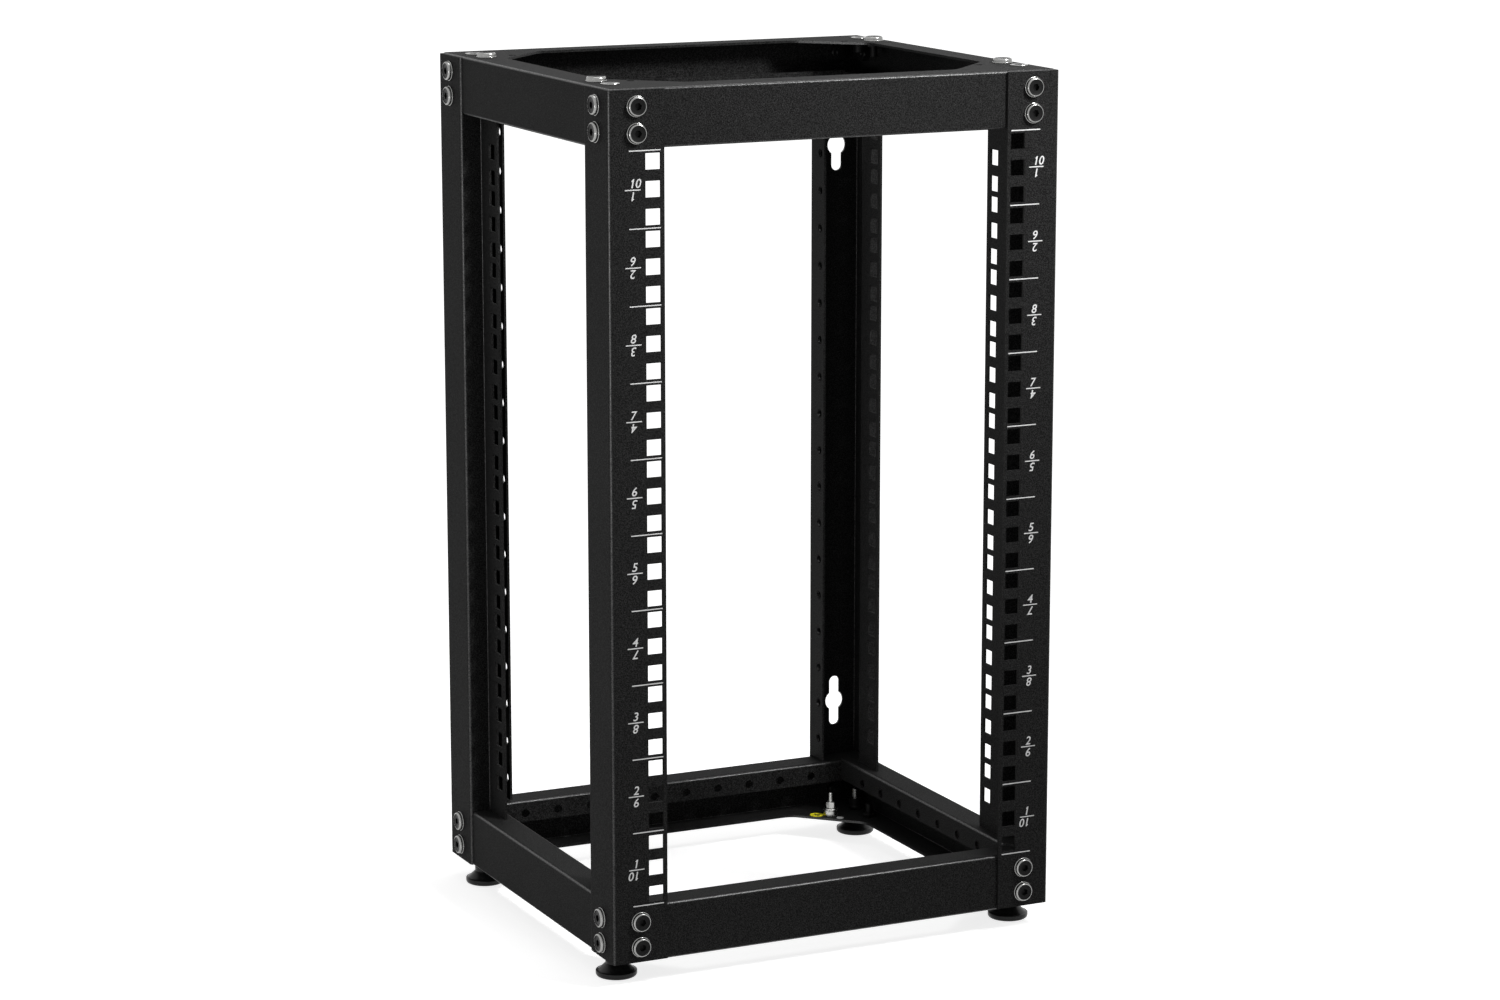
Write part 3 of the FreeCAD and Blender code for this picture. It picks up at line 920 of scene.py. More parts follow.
def facing(axis: Vector, spot: Vector, roll: float = 0.0) -> Matrix:
    """Turns a pattern's Z axis to a direction and moves it to a spot.

    Args:
        axis: Direction that the pattern's Z axis takes.
        spot: Where its origin goes.
        roll: Turn about its own axis first.

    Returns:
        The matrix of the place.
    """
    turn = UP.rotation_difference(axis).to_matrix().to_4x4()
    return Matrix.Translation(spot) @ turn @ Matrix.Rotation(roll, 4, "Z")


def looking(spot: Triple, aim: Vector) -> Matrix:
    """Places a lamp or a camera.

    Args:
        spot: Where it stands.
        aim: Direction that it looks in.

    Returns:
        The matrix of the place.
    """
    return Matrix.Translation(spot) @ aim.to_track_quat("-Z", "Y").to_matrix().to_4x4()


def hand_over(piece: Piece, replaced: Iterable[str] = ()) -> None:
    """Lets a finished piece ride on the rack and reports it.

    Args:
        piece: The finished piece.
        replaced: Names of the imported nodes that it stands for.
    """
    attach(piece, ROOT)
    nodes = list(replaced)
    if nodes:
        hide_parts(*nodes)
    LOG.info("%s: %d faces", piece.name, len(piece.data.polygons))


@dataclass
class SocketBolt:
    """A low-headed socket bolt with the nut at its far end."""

    finishes: Finishes
    head_radius: float = 6.15 * MM
    head_height: float = 2.95 * MM
    head_facets: int = 56
    head_crease: float = 40.0
    base_chamfer: float = 0.1 * MM
    flange_height: float = 0.8 * MM
    flange_round: float = 0.3 * MM
    flange_steps: int = 5
    side_radius: float = 5.75 * MM
    side_height: float = 1.6 * MM
    side_flare: float = 0.06 * MM
    side_steps: int = 8
    face_radius: float = 4.8 * MM
    face_slope: float = 0.25 * MM
    face_sink: float = 0.16 * MM
    black_from: float = 0.2 * MM
    black_margin: float = 0.05 * MM
    socket_flats: float = 4.0 * MM
    socket_depth: float = 2.2 * MM
    shank_radius: float = 2.95 * MM
    shank_chamfer: float = 0.5 * MM
    shank_facets: int = 32
    nut_flats: float = 10.0 * MM
    nut_height: float = 4.8 * MM
    nut_ring: float = 0.55 * MM
    nut_inner_ring: float = 0.6 * MM
    nut_crown: float = 0.2 * MM
    nut_crown_slope: float = 0.9 * MM
    nut_seat_slope: float = 0.5 * MM
    nut_margin: float = 0.1 * MM
    end_reach: float = 1.2 * MM

    def head(self) -> Piece:
        """Turns the head, cuts its socket and paints its face dark.

        Returns:
            The head, seated on Z = 0.
        """
        face = self.head_height - self.face_sink
        points = [(0.0, 0.0), (self.head_radius - self.base_chamfer, 0.0),
                  (self.head_radius, self.base_chamfer)]
        points += arc((self.head_radius - self.flange_round, self.flange_height - self.flange_round),
                      (self.flange_round, self.flange_round), 0.0, QUARTER_TURN, self.flange_steps)
        points.append((self.side_radius + self.side_flare, self.flange_height))
        points += arc((self.face_radius, self.side_height),
                      (self.side_radius - self.face_radius, self.head_height - self.side_height),
                      0.0, QUARTER_TURN, self.side_steps)
        points += [(self.face_radius - self.face_slope, face), (0.0, face)]
        head = Bench.lathe("bolt_head", points, self.head_facets)
        socket = Bench.cylinder("socket", self.socket_flats / ROOT_3, self.head_height - self.socket_depth,
                                self.head_height + CUT_REACH, HEX_SIDES)
        Bench.combine(head, socket, "DIFFERENCE")
        Bench.smooth(head, self.head_crease)
        Bench.paint(head, (self.finishes.zinc, self.finishes.black_steel))
        inside = self.face_radius - self.black_margin
        # The face inside the rim is painted dark.
        Bench.paint_faces(head, lambda middle, normal: middle.z > self.black_from
                          and middle.xy.length < inside)
        return head

    def nut(self, grip: float) -> Piece:
        """Makes the nut behind the sheets and the bolt's end in it.

        Args:
            grip: Thickness of the sheets that the bolt holds.

        Returns:
            The nut and the shank as one piece.
        """
        corner = self.nut_flats / ROOT_3
        low = -grip - self.nut_height
        nut = Bench.cylinder("nut", corner, low, -grip, HEX_SIDES)
        Bench.open(nut, "FACE")
        Bench.pick_faces(nut, lambda middle, normal: abs(normal.z) > NEARLY_LEVEL)
        bpy.ops.mesh.inset(thickness=self.nut_ring, use_even_offset=True, use_individual=True)
        bpy.ops.mesh.inset(thickness=self.nut_inner_ring, depth=0.0, use_individual=True)
        Bench.close()
        trim_corners(nut, corner + self.nut_margin,
                     (low, self.nut_flats / 2.0 - self.nut_crown, self.nut_crown_slope),
                     (-grip, self.nut_flats / 2.0, self.nut_seat_slope))
        end = low - self.end_reach
        shank = Bench.lathe("shank", [(0.0, end), (self.shank_radius - self.shank_chamfer, end),
                                      (self.shank_radius, end + self.shank_chamfer),
                                      (self.shank_radius, 0.0), (0.0, 0.0)], self.shank_facets)
        Bench.smooth(shank)
        for piece in (nut, shank):
            Bench.paint(piece, (self.finishes.zinc, self.finishes.black_steel))
            Bench.paint_faces(piece, lambda middle, normal: True)
        return Bench.join("nut_and_shank", (nut, shank))

    def pattern(self, name: str, grip: float) -> Piece:
        """Makes the whole bolt, head up, with the sheet's face at Z = 0.

        Args:
            name: The pattern's name.
            grip: Thickness of the sheets that the bolt holds.

        Returns:
            The pattern to copy.
        """
        return Bench.join(name, (self.head(), self.nut(grip)))


@dataclass
class PostBolts:
    """The pairs of bolts that hold each post to both frames."""

    finishes: Finishes
    inset: float = 17.5 * MM
    spacing: float = 15.4 * MM
    grip: float = 3.0 * MM
    roll_step: float = math.radians(37.0)

    def build(self) -> None:
        """Copies the bolt to every corner of both frames."""
        pattern = SocketBolt(self.finishes).pattern("post_bolt", self.grip)
        roll = 0.0
        for corner, level in product(Corner, Level):
            edge = corner.post_edge()
            low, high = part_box(corner.side_rail(level))
            bolts = []
            for offset in (-self.spacing / 2.0, self.spacing / 2.0):
                height = (low.z + high.z) / 2.0 + offset
                face = Vector((edge.x - corner.right * self.inset, edge.y, height))
                flank = Vector((edge.x, edge.y - corner.back * self.inset, height))
                for spot, axis in ((face, Vector((0.0, corner.back, 0.0))),
                                   (flank, Vector((corner.right, 0.0, 0.0)))):
                    bolts.append(Bench.copy(pattern, "bolt", facing(axis, spot, roll)))
                    roll += self.roll_step
            hand_over(Bench.join(f"{corner.word}_{level.word}_bolts", bolts))
        Bench.discard(pattern)


@dataclass
class CornerScrews:
    """The screw beside each insert in both frames."""

    finishes: Finishes
    inset_side: float = 13.0 * MM
    inset_face: float = 46.4 * MM
    grip: float = 1.5 * MM
    nut_flats: float = 8.0 * MM
    nut_height: float = 2.3 * MM
    shank_radius: float = 2.45 * MM
    end_reach: float = 6.6 * MM
    roll_step: float = 0.7

    def build(self) -> None:
        """Copies the screw to every corner of both frames."""
        screw = SocketBolt(self.finishes, nut_flats=self.nut_flats, nut_height=self.nut_height,
                           shank_radius=self.shank_radius, end_reach=self.end_reach)
        pattern = screw.pattern("screw", self.grip)
        for number, (level, corner) in enumerate(product(Level, Corner)):
            edge = corner.post_edge()
            spot = Vector((edge.x - corner.right * self.inset_side, edge.y - corner.back * self.inset_face,
                           level.outer_height(corner.side_rail(level))))
            where = facing(level.outward, spot, self.roll_step * number)
            hand_over(Bench.copy(pattern, f"{level.word}_{corner.word}_screw", where))
        Bench.discard(pattern)


@dataclass
class UnitPrint:
    """The unit lines and the unit numbers printed on both front posts."""

    finishes: Finishes
    units: int = 10
    unit_height: float = 44.45 * MM
    frame_gap: float = 0.8 * MM
    ink: float = 0.04 * MM
    line_start: float = 32.45 * MM
    line_end: float = 12.75 * MM
    line_width: float = 0.62 * MM
    bar_middle: float = 15.05 * MM
    bar_length: float = 9.8 * MM
    bar_width: float = 0.62 * MM
    end_round: float = 0.3
    end_segments: int = 3
    model_digit: int = 8
    digit_height: float = 5.2 * MM
    digit_width: float = 3.65 * MM
    digit_slant: float = 0.2
    digit_weight: float = 0.008
    digit_curve: int = 8
    digit_gap: float = 0.8 * MM
    flag_length: float = 1.5 * MM
    flag_width: float = 0.6 * MM
    flag_ink: float = 0.05 * MM
    flag_drop: float = math.radians(38.0)

    def stroke(self, name: str, start: Vector, end: Vector, width: float) -> Piece:
        """Prints a level line on the face of a post.

        Args:
            name: The stroke's name.
            start: Its left end.
            end: Its right end.
            width: Its width.

        Returns:
            The stroke.
        """
        half = Vector((0.0, 0.0, width / 2.0))
        stroke = Bench.block(name, start - half - Vector((0.0, self.ink, 0.0)), end + half)
        Bench.bevel_edges(stroke, lambda a, b: abs(a.y - b.y) > self.ink / 2.0, width * self.end_round,
                          self.end_segments)
        Bench.paint(stroke, (self.finishes.white_ink,))
        return stroke

    def lettering(self, number: int) -> Piece:
        """Writes a number in a slanted face, flat on the XY plane.

        Args:
            number: The number to write.

        Returns:
            The number as a flat mesh, one unit in size.
        """
        bpy.ops.object.select_all(action="DESELECT")
        bpy.ops.object.text_add()
        text = bpy.context.object.data
        text.body = str(number)
        text.shear = self.digit_slant
        text.resolution_u = self.digit_curve
        text.offset = self.digit_weight
        bpy.ops.object.convert(target="MESH")
        return Bench.settle(f"numeral_{number}")

    def numeral(self, number: int, figure: Vector) -> Piece:
        """Sets a number on the face of a post, with its foot on the origin.

        Args:
            number: The number to set.
            figure: Width and height of one written figure.

        Returns:
            The number as a mesh in the XZ plane, that faces -Y.
        """
        piece = self.lettering(number)
        left = min(vertex.co.x for vertex in piece.data.vertices)
        low = min(vertex.co.y for vertex in piece.data.vertices)
        scale = Matrix.Diagonal((self.digit_width / figure.x, self.digit_height / figure.y, 1.0, 1.0))
        Bench.place(piece, Matrix.Rotation(QUARTER_TURN, 4, "X") @ scale
                    @ Matrix.Translation((-left, -low, 0.0)))
        Bench.open(piece, "FACE")
        Bench.weld(WELD)
        bpy.ops.mesh.extrude_region_move(TRANSFORM_OT_translate={"value": (0.0, -self.ink, 0.0)})
        Bench.turn_out()
        Bench.close()
        Bench.paint(piece, (self.finishes.white_ink,))
        return piece

    def flag(self, one: Piece) -> Piece:
        """Makes the short stroke at the head of a one.

        Args:
            one: The written one.

        Returns:
            The stroke, in its place on the one.
        """
        head = max((vertex.co for vertex in one.data.vertices), key=lambda point: point.z - point.x)
        flag = Bench.block("flag", Vector((-self.flag_length, -self.flag_ink, -self.flag_width)), Vector())
        Bench.place(flag, Matrix.Translation((head.x + self.flag_width / 2.0, 0.0, head.z))
                    @ Matrix.Rotation(-self.flag_drop, 4, "Y"))
        Bench.paint(flag, (self.finishes.white_ink,))
        return flag

    def fraction(self, numerals: dict[int, Piece], flag: Piece, unit: int, middle: Vector) -> list[Piece]:
        """Prints a unit's number from below over its bar, and the one from above upside down under it.

        Args:
            numerals: The numbers as meshes.
            flag: The head stroke of a one.
            unit: The unit counted from below.
            middle: Middle of the bar.

        Returns:
            The strokes of the two numbers.
        """
        numbers = []
        for number, turn in ((unit, 0.0), (self.units + 1 - unit, HALF_TURN)):
            lead = int(str(number)[0])
            start = Vector((-numerals[lead].dimensions.x / 2.0, 0.0, self.digit_gap + self.bar_width / 2.0))
            where = Matrix.Translation(middle) @ Matrix.Rotation(turn, 4, "Y") @ Matrix.Translation(start)
            numbers.append(Bench.copy(numerals[number], "number", where))
            if lead == 1:
                numbers.append(Bench.copy(flag, "flag", where))
        return numbers

    def build(self) -> None:
        """Prints both front posts."""
        model = self.lettering(self.model_digit)
        figure = model.dimensions.copy()
        Bench.discard(model)
        numerals = {number: self.numeral(number, figure) for number in range(1, self.units + 1)}
        flag = self.flag(numerals[1])
        _, frame_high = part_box("bottom_front_rail")
        base = frame_high.z + self.frame_gap
        half = Vector((self.bar_length / 2.0, 0.0, 0.0))
        for corner in (Corner.FRONT_LEFT, Corner.FRONT_RIGHT):
            edge = corner.post_edge()
            left, right = sorted(edge.x - corner.right * reach for reach in (self.line_start, self.line_end))
            strokes = []
            for line in range(self.units + 1):
                height = base + line * self.unit_height
                strokes.append(self.stroke("unit_line", Vector((left, edge.y, height)),
                                           Vector((right, edge.y, height)), self.line_width))
            for unit in range(1, self.units + 1):
                middle = Vector((edge.x - corner.right * self.bar_middle, edge.y,
                                 base + (unit - 0.5) * self.unit_height))
                strokes.append(self.stroke("fraction_bar", middle - half, middle + half, self.bar_width))
                strokes += self.fraction(numerals, flag, unit, middle)
            printed = Bench.join(f"{corner.word}_print", strokes)
            Bench.smooth(printed, FINE_CREASE)
            hand_over(printed)
        for numeral in (*numerals.values(), flag):
            Bench.discard(numeral)


@dataclass
class Thread:
    """A metric thread, as the rod that fills it; its flats are shares of the pitch."""

    radius: float
    pitch: float
    depth: float = 0.55
    root_end: float = 0.125
    crest_start: float = 0.4375
    crest_end: float = 0.5625
    steps: int = 28
    spare_turns: int = 4
    lead_in: float = 1.5
    weld: float = 0.004 * MM
    sleeve_gap: float = 0.2 * MM
    sleeve_facets: int = 40

    def rod(self, name: str, low: float, high: float, chamfer: float) -> Piece:
        """Makes a threaded rod with chamfered ends.

        Args:
            name: The piece's name.
            low: Height of its lower end.
            high: Height of its upper end.
            chamfer: Chamfer of both ends.

        Returns:
            The rod on the Z axis.
        """
        root = self.radius - self.depth * self.pitch
        start = low - self.lead_in * self.pitch
        turn = ((root, 0.0), (root, self.root_end), (self.radius, self.crest_start),
                (self.radius, self.crest_end), (root, 1.0))
        rod = Bench.profile(name, [(radius, start + share * self.pitch) for radius, share in turn])
        modifier = rod.modifiers.new("thread", "SCREW")
        modifier.axis = "Z"
        modifier.angle = FULL_TURN
        modifier.screw_offset = self.pitch
        modifier.iterations = int((high - low) / self.pitch) + self.spare_turns
        modifier.steps = self.steps
        modifier.render_steps = self.steps
        modifier.use_merge_vertices = True
        modifier.merge_threshold = WELD
        bpy.ops.object.modifier_apply(modifier=modifier.name)
        Bench.open(rod, "VERT")
        Bench.weld(self.weld)
        bpy.ops.mesh.fill_holes(sides=0)
        Bench.turn_out()
        Bench.close()
        over = self.radius + self.sleeve_gap
        inside = self.radius - chamfer
        points = [(0.0, low), (inside, low), (self.radius, low + chamfer), (over, low + chamfer),
                  (over, high - chamfer), (self.radius, high - chamfer), (inside, high), (0.0, high)]
        Bench.combine(rod, Bench.lathe("sleeve", points, self.sleeve_facets), "INTERSECT")
        return rod


@dataclass
class LevellingFeet:
    """The four screw feet: a moulded, coned disc on a threaded stud.

    A rounding is given by its size and by how far its middle is cut in.
    """

    finishes: Finishes
    pitch: float = 1.0 * MM
    facets: int = 64
    crease: float = 34.0
    sole: float = 10.8 * MM
    sole_edge: float = 0.5 * MM
    sole_lift: float = 0.12 * MM
    rim_low: float = 1.75 * MM
    rim_high: float = 3.6 * MM
    rim_round: Pair = (0.35 * MM, 0.1 * MM)
    rim_steps: int = 5
    rim_land: float = 0.8 * MM
    rim_rise: float = 0.05 * MM
    cone_steps: int = 8
    cone_power: float = 1.2
    neck: float = 6.6 * MM
    neck_round: Pair = (0.4 * MM, 0.12 * MM)
    shoulder: float = 7.9 * MM
    bore: float = 3.0 * MM
    bore_chamfer: float = 0.35 * MM
    bore_depth: float = 1.2 * MM
    stud_chamfer: float = 0.8 * MM
    bright_from: float = 22.9 * MM

    def disc(self, radius: float, top: float) -> Piece:
        """Turns a foot's disc with a rolled rim, a coned top and a neck.

        Args:
            radius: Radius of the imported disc.
            top: Its height.

        Returns:
            The disc about the Z axis.
        """
        points = [(0.0, 0.0), (self.sole - self.sole_edge, 0.0)]
        points += arc((self.sole, self.rim_low), (radius - self.sole, self.rim_low - self.sole_lift),
                      -QUARTER_TURN, 0.0, self.rim_steps)
        points += rounded(radius, self.rim_high, *self.rim_round)
        base = radius - self.rim_land
        for step in range(self.cone_steps + 1):
            share = step / self.cone_steps
            rise = (self.shoulder - self.rim_high) * share ** self.cone_power
            points.append((base - (base - self.neck) * share, self.rim_high + self.rim_rise + rise))
        points += rounded(self.neck, top, *self.neck_round)
        points += [(self.bore + self.bore_chamfer, top), (self.bore, top - self.bore_chamfer),
                   (self.bore, top - self.bore_depth), (0.0, top - self.bore_depth)]
        disc = Bench.lathe("foot_disc", points, self.facets)
        Bench.smooth(disc, self.crease)
        Bench.paint(disc, (self.finishes.plastic,))
        return disc

    def build(self) -> None:
        """Puts a disc and a stud at every corner."""
        model = f"{Corner.FRONT_LEFT.word}_foot"
        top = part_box(model)[1].z
        disc = self.disc(radius_of(model), top)
        stud_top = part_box(f"{model}_stud")[1].z
        thread = Thread(radius_of(f"{model}_stud"), self.pitch)
        stud = thread.rod("stud", top - self.bore_depth, stud_top, self.stud_chamfer)
        Bench.paint(stud, (self.finishes.black_steel, self.finishes.zinc))
        Bench.paint_faces(stud, lambda middle, normal: middle.z > self.bright_from)
        Bench.smooth(stud, FINE_CREASE)
        for corner in Corner:
            foot = f"{corner.word}_foot"
            where = Matrix.Translation(middle_of(foot))
            hand_over(Bench.copy(disc, f"{foot}_disc", where), [foot])
            hand_over(Bench.copy(stud, f"{foot}_thread", where), [f"{foot}_stud"])
        Bench.discard(disc)
        Bench.discard(stud)


@dataclass
class FrameInserts:
    """The threaded inserts riveted into both frames."""

    finishes: Finishes
    pitch: float = 1.0 * MM
    flange_radius: float = 5.5 * MM
    flange_height: float = 0.8 * MM
    flange_round: Pair = (0.25 * MM, 0.08 * MM)
    barrel_radius: float = 4.0 * MM
    barrel_chamfer: float = 0.4 * MM
    bulge_radius: float = 4.7 * MM
    bulge_start: float = 3.4 * MM
    bulge_middle: float = 1.7 * MM
    bulge_half: float = 1.65 * MM
    bulge_steps: int = 6
    sheet: float = 1.5 * MM
    length: float = 9.0 * MM
    bore: float = 3.0 * MM
    tap_chamfer: float = 0.1 * MM
    sink_depth: float = 0.6 * MM
    sink_inside: float = 0.5 * MM
    sink_outside: float = 0.35 * MM
    sink_rise: float = 0.25 * MM
    bright_depth: float = 0.1 * MM

    def pattern(self) -> Piece:
        """Turns an insert, cuts its thread, paints its barrel below the sheet dark and paints its bore dark
        as painted shade.

        Returns:
            The insert, with its flange on Z = 0 and standing up from it.
        """
        top = self.flange_height
        barrel = self.barrel_radius
        points = [(0.0, -self.length), (barrel - self.barrel_chamfer, -self.length),
                  (barrel, -self.length + self.barrel_chamfer), (barrel, -self.sheet - self.bulge_start)]
        points += arc((barrel, -self.sheet - self.bulge_middle),
                      (self.bulge_radius - barrel, self.bulge_half),
                      -QUARTER_TURN, QUARTER_TURN, self.bulge_steps)
        points += [(barrel, -self.sheet), (barrel, 0.0), (self.flange_radius, 0.0)]
        points += rounded(self.flange_radius, top, *self.flange_round)
        insert = Bench.lathe("insert", points + [(0.0, top)])
        tap = Thread(self.bore, self.pitch).rod("tap", -self.length - CUT_REACH, top + CUT_REACH,
                                                self.tap_chamfer)
        Bench.combine(insert, tap, "DIFFERENCE")
        low, high = top - self.sink_depth, top + self.sink_rise
        sink = Bench.lathe("countersink", [(0.0, low), (self.bore - self.sink_inside, low),
                                           (self.bore + self.sink_outside, high), (0.0, high)])
        Bench.combine(insert, sink, "DIFFERENCE")
        Bench.smooth(insert, FINE_CREASE)
        Bench.paint(insert, (self.finishes.zinc, self.finishes.black_steel))
        # The bore is painted dark below its top edge, as painted shade in the hole; the barrel below the
        # sheet is painted dark as well.
        Bench.paint_faces(insert, lambda middle, normal: middle.z < -self.sheet or (
            middle.xy.length < self.bore and middle.z < top - self.bright_depth))
        return insert

    def build(self) -> None:
        """Copies the insert to every corner of both frames."""
        pattern = self.pattern()
        for level, corner in product(Level, Corner):
            node = f"{level.word}_{corner.word}_insert"
            height = level.outer_height(node) - level.sign * self.flange_height
            where = facing(level.outward, middle_of(node, height))
            hand_over(Bench.copy(pattern, f"{level.word}_{corner.word}_threaded_insert", where),
                      [node])
        Bench.discard(pattern)


@dataclass
class EarthPoint:
    """The earth stud with its nut, the rivet near it and the yellow mark beside it.

    The collar's edge is given by how far its points lie in and down, and the rivet's by how far in and
    how high. The sign's stem has its two corners, and each bar its place, half its length and its width.
    """

    finishes: Finishes
    thread_radius: float = 1.5 * MM
    thread_chamfer: float = 0.45 * MM
    thread_root: float = 0.5 * MM
    pitch: float = 0.5 * MM
    plate: float = 1.5 * MM
    collar_edge: tuple[Pair, ...] = ((0.0, 0.9 * MM), (0.12 * MM, 0.5 * MM), (0.45 * MM, 0.15 * MM),
                                     (0.9 * MM, 0.0))
    nut_turn: float = math.radians(20.0)
    nut_slope: float = 0.4 * MM
    nut_margin: float = 0.1 * MM
    nut_clearance: float = 0.05 * MM
    label_inset: Pair = (43.0 * MM, 28.7 * MM)
    label_radius: float = 4.5 * MM
    label_height: float = 0.06 * MM
    sign_stem: tuple[Pair, Pair] = ((-0.5 * MM, 0.8 * MM), (0.5 * MM, 3.2 * MM))
    sign_bars: tuple[Triple, ...] = ((0.4 * MM, 2.8 * MM, 1.0 * MM), (-1.0 * MM, 1.85 * MM, 0.9 * MM),
                                   (-2.3 * MM, 0.95 * MM, 0.9 * MM))
    sign_low: float = 0.03 * MM
    sign_high: float = 0.096 * MM
    rivet_inset: Pair = (32.0 * MM, 41.5 * MM)
    rivet_radius: float = 2.42 * MM
    rivet_facets: int = 40
    rivet_height: float = 0.2 * MM
    rivet_edge: tuple[Pair, ...] = ((0.0, 0.05 * MM), (0.15 * MM, 0.16 * MM), (0.5 * MM, 0.2 * MM))

    def build(self) -> None:
        """Makes the stud, the nut, the rivet and the mark."""
        axis = Matrix.Translation(middle_of("earth_stud"))
        self.stud(axis)
        self.nut(axis @ Matrix.Rotation(self.nut_turn, 4, "Z"))
        self.rivet(self.on_gusset(self.rivet_inset))
        self.label(self.on_gusset(self.label_inset))

    @staticmethod
    def on_gusset(inset: Pair) -> Matrix:
        """Finds a place on the gusset of the earth stud.

        Args:
            inset: How far it lies in from the rack's side and from its back.

        Returns:
            The matrix of the place.
        """
        edge = Corner.BACK_RIGHT.post_edge()
        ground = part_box("earth_stud")[0].z
        return Matrix.Translation((edge.x - inset[0], edge.y - inset[1], ground))

    def stud(self, where: Matrix) -> None:
        """Turns the collar and threads the stud.

        Args:
            where: Where the stud's axis stands.
        """
        low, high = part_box("earth_stud")
        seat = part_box("earth_nut")[0].z
        collar = radius_of("earth_stud")
        rod = Thread(self.thread_radius, self.pitch).rod("earth_rod", seat - self.thread_root, high.z,
                                                         self.thread_chamfer)
        Bench.smooth(rod, FINE_CREASE)
        points = [(0.0, low.z), (collar, low.z)]
        points += [(collar - inset, seat - drop) for inset, drop in self.collar_edge]
        base = Bench.lathe("earth_collar", points + [(0.0, seat)])
        Bench.smooth(base)
        stud = Bench.join("earth_pattern", (rod, base))
        Bench.paint(stud, (self.finishes.nickel,))
        hand_over(Bench.copy(stud, "earth_thread_and_collar", where), ["earth_stud"])
        Bench.discard(stud)

    def nut(self, where: Matrix) -> None:
        """Makes the hexagon nut with chamfered corners.

        Args:
            where: Where the nut's axis stands.
        """
        low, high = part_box("earth_nut")
        corner = radius_of("earth_nut")
        flat = corner * ROOT_3 / 2.0
        nut = Bench.cylinder("hex", corner, low.z, high.z, HEX_SIDES)
        trim_corners(nut, corner + self.nut_margin, (low.z, flat, self.nut_slope),
                     (high.z, flat, self.nut_slope))
        bore = Bench.cylinder("bore", self.thread_radius + self.nut_clearance, low.z - CUT_REACH,
                              high.z + CUT_REACH, NUT_FACETS)
        Bench.combine(nut, bore, "DIFFERENCE")
        Bench.paint(nut, (self.finishes.nickel,))
        hand_over(Bench.copy(nut, "earth_hex_nut", where), ["earth_nut"])
        Bench.discard(nut)

    def rivet(self, where: Matrix) -> None:
        """Turns the flat rivet that fills the small hole of this gusset.

        Args:
            where: Where its axis stands, on the gusset.
        """
        points = [(0.0, -self.plate), (self.rivet_radius, -self.plate)]
        points += [(self.rivet_radius - inset, height) for inset, height in self.rivet_edge]
        rivet = Bench.lathe("rivet", points + [(0.0, self.rivet_height)], self.rivet_facets)
        Bench.smooth(rivet)
        Bench.paint(rivet, (self.finishes.tin,))
        hand_over(Bench.copy(rivet, "earth_rivet", where))
        Bench.discard(rivet)

    def label(self, where: Matrix) -> None:
        """Prints the round yellow mark, with an earth sign on it.

        Args:
            where: Where its middle lies, on the gusset.
        """
        inks = (self.finishes.yellow_ink, self.finishes.black_ink)
        radius, height = self.label_radius, self.label_height
        disc = Bench.lathe("disc", [(0.0, 0.0), (radius, 0.0), (radius, height), (0.0, height)])
        Bench.paint(disc, inks)
        strokes = [disc]
        corners = [self.sign_stem]
        corners += [((-half, spot - depth / 2.0), (half, spot + depth / 2.0))
                    for spot, half, depth in self.sign_bars]
        for low, high in corners:
            mark = Bench.block("mark", Vector((*low, self.sign_low)), Vector((*high, self.sign_high)))
            Bench.paint(mark, inks)
            Bench.paint_faces(mark, lambda middle, normal: True)
            strokes.append(mark)
        pattern = Bench.join("label", strokes)
        hand_over(Bench.copy(pattern, "earth_label", where))
        Bench.discard(pattern)


@dataclass
class SheetMetal:
    """The folded posts and rails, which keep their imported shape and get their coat."""

    finishes: Finishes

    def build(self) -> None:
        """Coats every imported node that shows."""
        coats = {
            Slot.POWDER_COAT.value: self.finishes.powder,
            Slot.BRIGHT_ZINC.value: self.finishes.zinc,
            Slot.DARK_STEEL.value: self.finishes.black_steel,
            Slot.FOOT_PLASTIC.value: self.finishes.plastic,
        }
        slots = {part["node"]: part["material_slot"] for part in frame["record"]["subparts"]}
        for name, node in frame["nodes"].items():
            Bench.paint(node, (coats[slots[name]],))
            LOG.info("%s: coated", name)


@dataclass
class SoftBox:
    """One area lamp, aimed at the rack."""

    name: str
    spot: Triple
    target: Triple
    side: float
    watts: float
    spread: float = math.pi

    def build(self) -> None:
        """Adds the lamp."""
        lamp = bpy.data.lights.new(self.name, "AREA")
        lamp.shape = "RECTANGLE"
        lamp.size = self.side
        lamp.size_y = self.side
        lamp.energy = self.watts
        lamp.spread = self.spread
        holder = bpy.data.objects.new(self.name, lamp)
        bpy.context.scene.collection.objects.link(holder)
        holder.matrix_world = looking(self.spot, Vector(self.target) - Vector(self.spot))


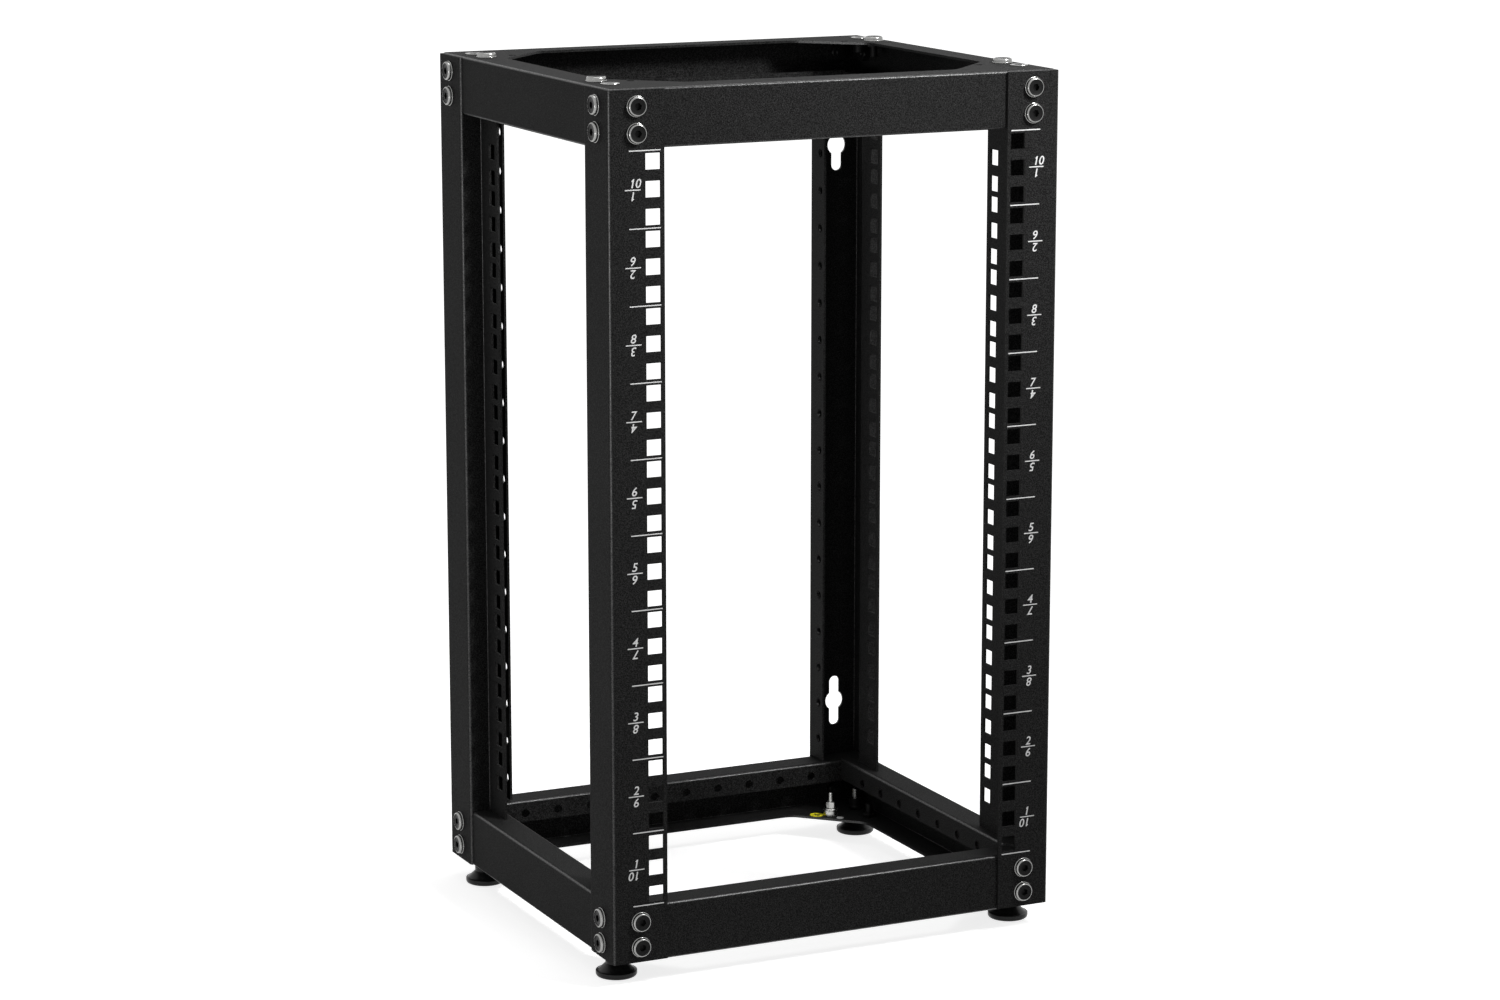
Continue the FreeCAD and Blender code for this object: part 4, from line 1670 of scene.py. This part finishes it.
@dataclass
class Studio:
    """The floor, the light and the camera."""

    camera_spot: Triple = (-1.036478, -2.178747, 0.750497)
    azimuth: float = math.radians(25.550)
    elevation: float = math.radians(11.553)
    lens: float = 95.404
    sensor: float = 36.0
    floor_size: float = 24.0
    floor_tone: float = 0.6
    floor_roughness: float = 0.9
    floor_glow: float = 0.74
    shadow_reach: float = 1.3
    ambient: float = 0.31
    lamps: tuple[SoftBox, ...] = (
        SoftBox("front_softbox", (0.55, -0.75, 1.15), (0.08, -0.13, 0.55), side=0.28, watts=1.8,
                spread=math.radians(52.0)),
        SoftBox("left_softbox", (-1.5, -0.8, 0.2), (-0.14, -0.13, 0.5), side=0.25, watts=0.22,
                spread=math.radians(40.0)),
        SoftBox("overhead_softbox", (0.2, 0.3, 1.9), (0.0, 0.0, 0.4), side=0.9, watts=6.2),
    )

    def build(self) -> None:
        """Sets the stage, the light and the camera."""
        self.lay_floor()
        self.light_world()
        for lamp in self.lamps:
            lamp.build()
        self.place_camera()
        bpy.context.scene.view_settings.view_transform = "Standard"

    @staticmethod
    def shown(graph: Graph) -> Wire:
        """Finds where the camera sees a surface, straight, in metal or through glass.

        Args:
            graph: The graph of the floor or of the world.

        Returns:
            1 on those rays and 0 on the ones that light the rack.
        """
        rays = [graph.node("ShaderNodeLightPath", output=f"Is {kind} Ray")
                for kind in ("Camera", "Glossy", "Transmission")]
        return rays[0].highest(rays[1]).highest(rays[2])

    def lay_floor(self) -> None:
        """Lays a pale floor that shows white and keeps the rack's shadow."""
        floor = Bench.plane("studio_floor", self.floor_size)
        material, graph = new_graph("pale_floor")
        place = graph.node("ShaderNodeTexCoord", output="Object")
        scale = [1.0 / self.shadow_reach] * 3
        spread = graph.node("ShaderNodeMapping", None, {"Vector": place, "Scale": scale})
        near = graph.node("ShaderNodeTexGradient", {"gradient_type": "QUADRATIC_SPHERE"}, {"Vector": spread},
                          "Fac")
        surface = graph.node("ShaderNodeBsdfPrincipled", None, {
            "Base Color": grey(self.floor_tone),
            "Roughness": self.floor_roughness,
            "Specular IOR Level": 0.0,
        }, "BSDF")
        glow = graph.node("ShaderNodeEmission", None, {
            "Color": graph.blend(near, grey(1.0), grey(self.floor_glow)),
            "Strength": self.shown(graph),
        }, "Emission")
        both = graph.node("ShaderNodeAddShader", None, {0: surface, 1: glow}, "Shader")
        graph.node("ShaderNodeOutputMaterial", None, {"Surface": both})
        Bench.paint(floor, (material,))

    def light_world(self) -> None:
        """Gives an even soft light, and white where the world itself is seen."""
        world = bpy.data.worlds.new("studio_world")
        bpy.context.scene.world = world
        world.use_nodes = True
        graph = Graph(world.node_tree)
        white = self.shown(graph)
        strength = white + (1.0 - white) * self.ambient
        background = graph.node("ShaderNodeBackground", None, {"Color": grey(1.0), "Strength": strength},
                                "Background")
        graph.node("ShaderNodeOutputWorld", None, {"Surface": background})

    def place_camera(self) -> None:
        """Puts the camera at the photograph's view."""
        data = bpy.data.cameras.new("photo_camera")
        data.lens = self.lens
        data.sensor_width = self.sensor
        camera = bpy.data.objects.new("photo_camera", data)
        bpy.context.scene.collection.objects.link(camera)
        forward = Vector((math.sin(self.azimuth) * math.cos(self.elevation),
                          math.cos(self.azimuth) * math.cos(self.elevation), -math.sin(self.elevation)))
        camera.matrix_world = looking(self.camera_spot, forward)
        bpy.context.scene.camera = camera


def main() -> None:
    """Dresses the rack and sets the studio around it."""
    logging.basicConfig(level=logging.INFO, format="%(name)s %(message)s")
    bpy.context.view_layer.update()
    finishes = Finishes.make()
    SheetMetal(finishes).build()
    PostBolts(finishes).build()
    CornerScrews(finishes).build()
    UnitPrint(finishes).build()
    LevellingFeet(finishes).build()
    FrameInserts(finishes).build()
    EarthPoint(finishes).build()
    Studio().build()


if __name__ == "__main__":
    main()
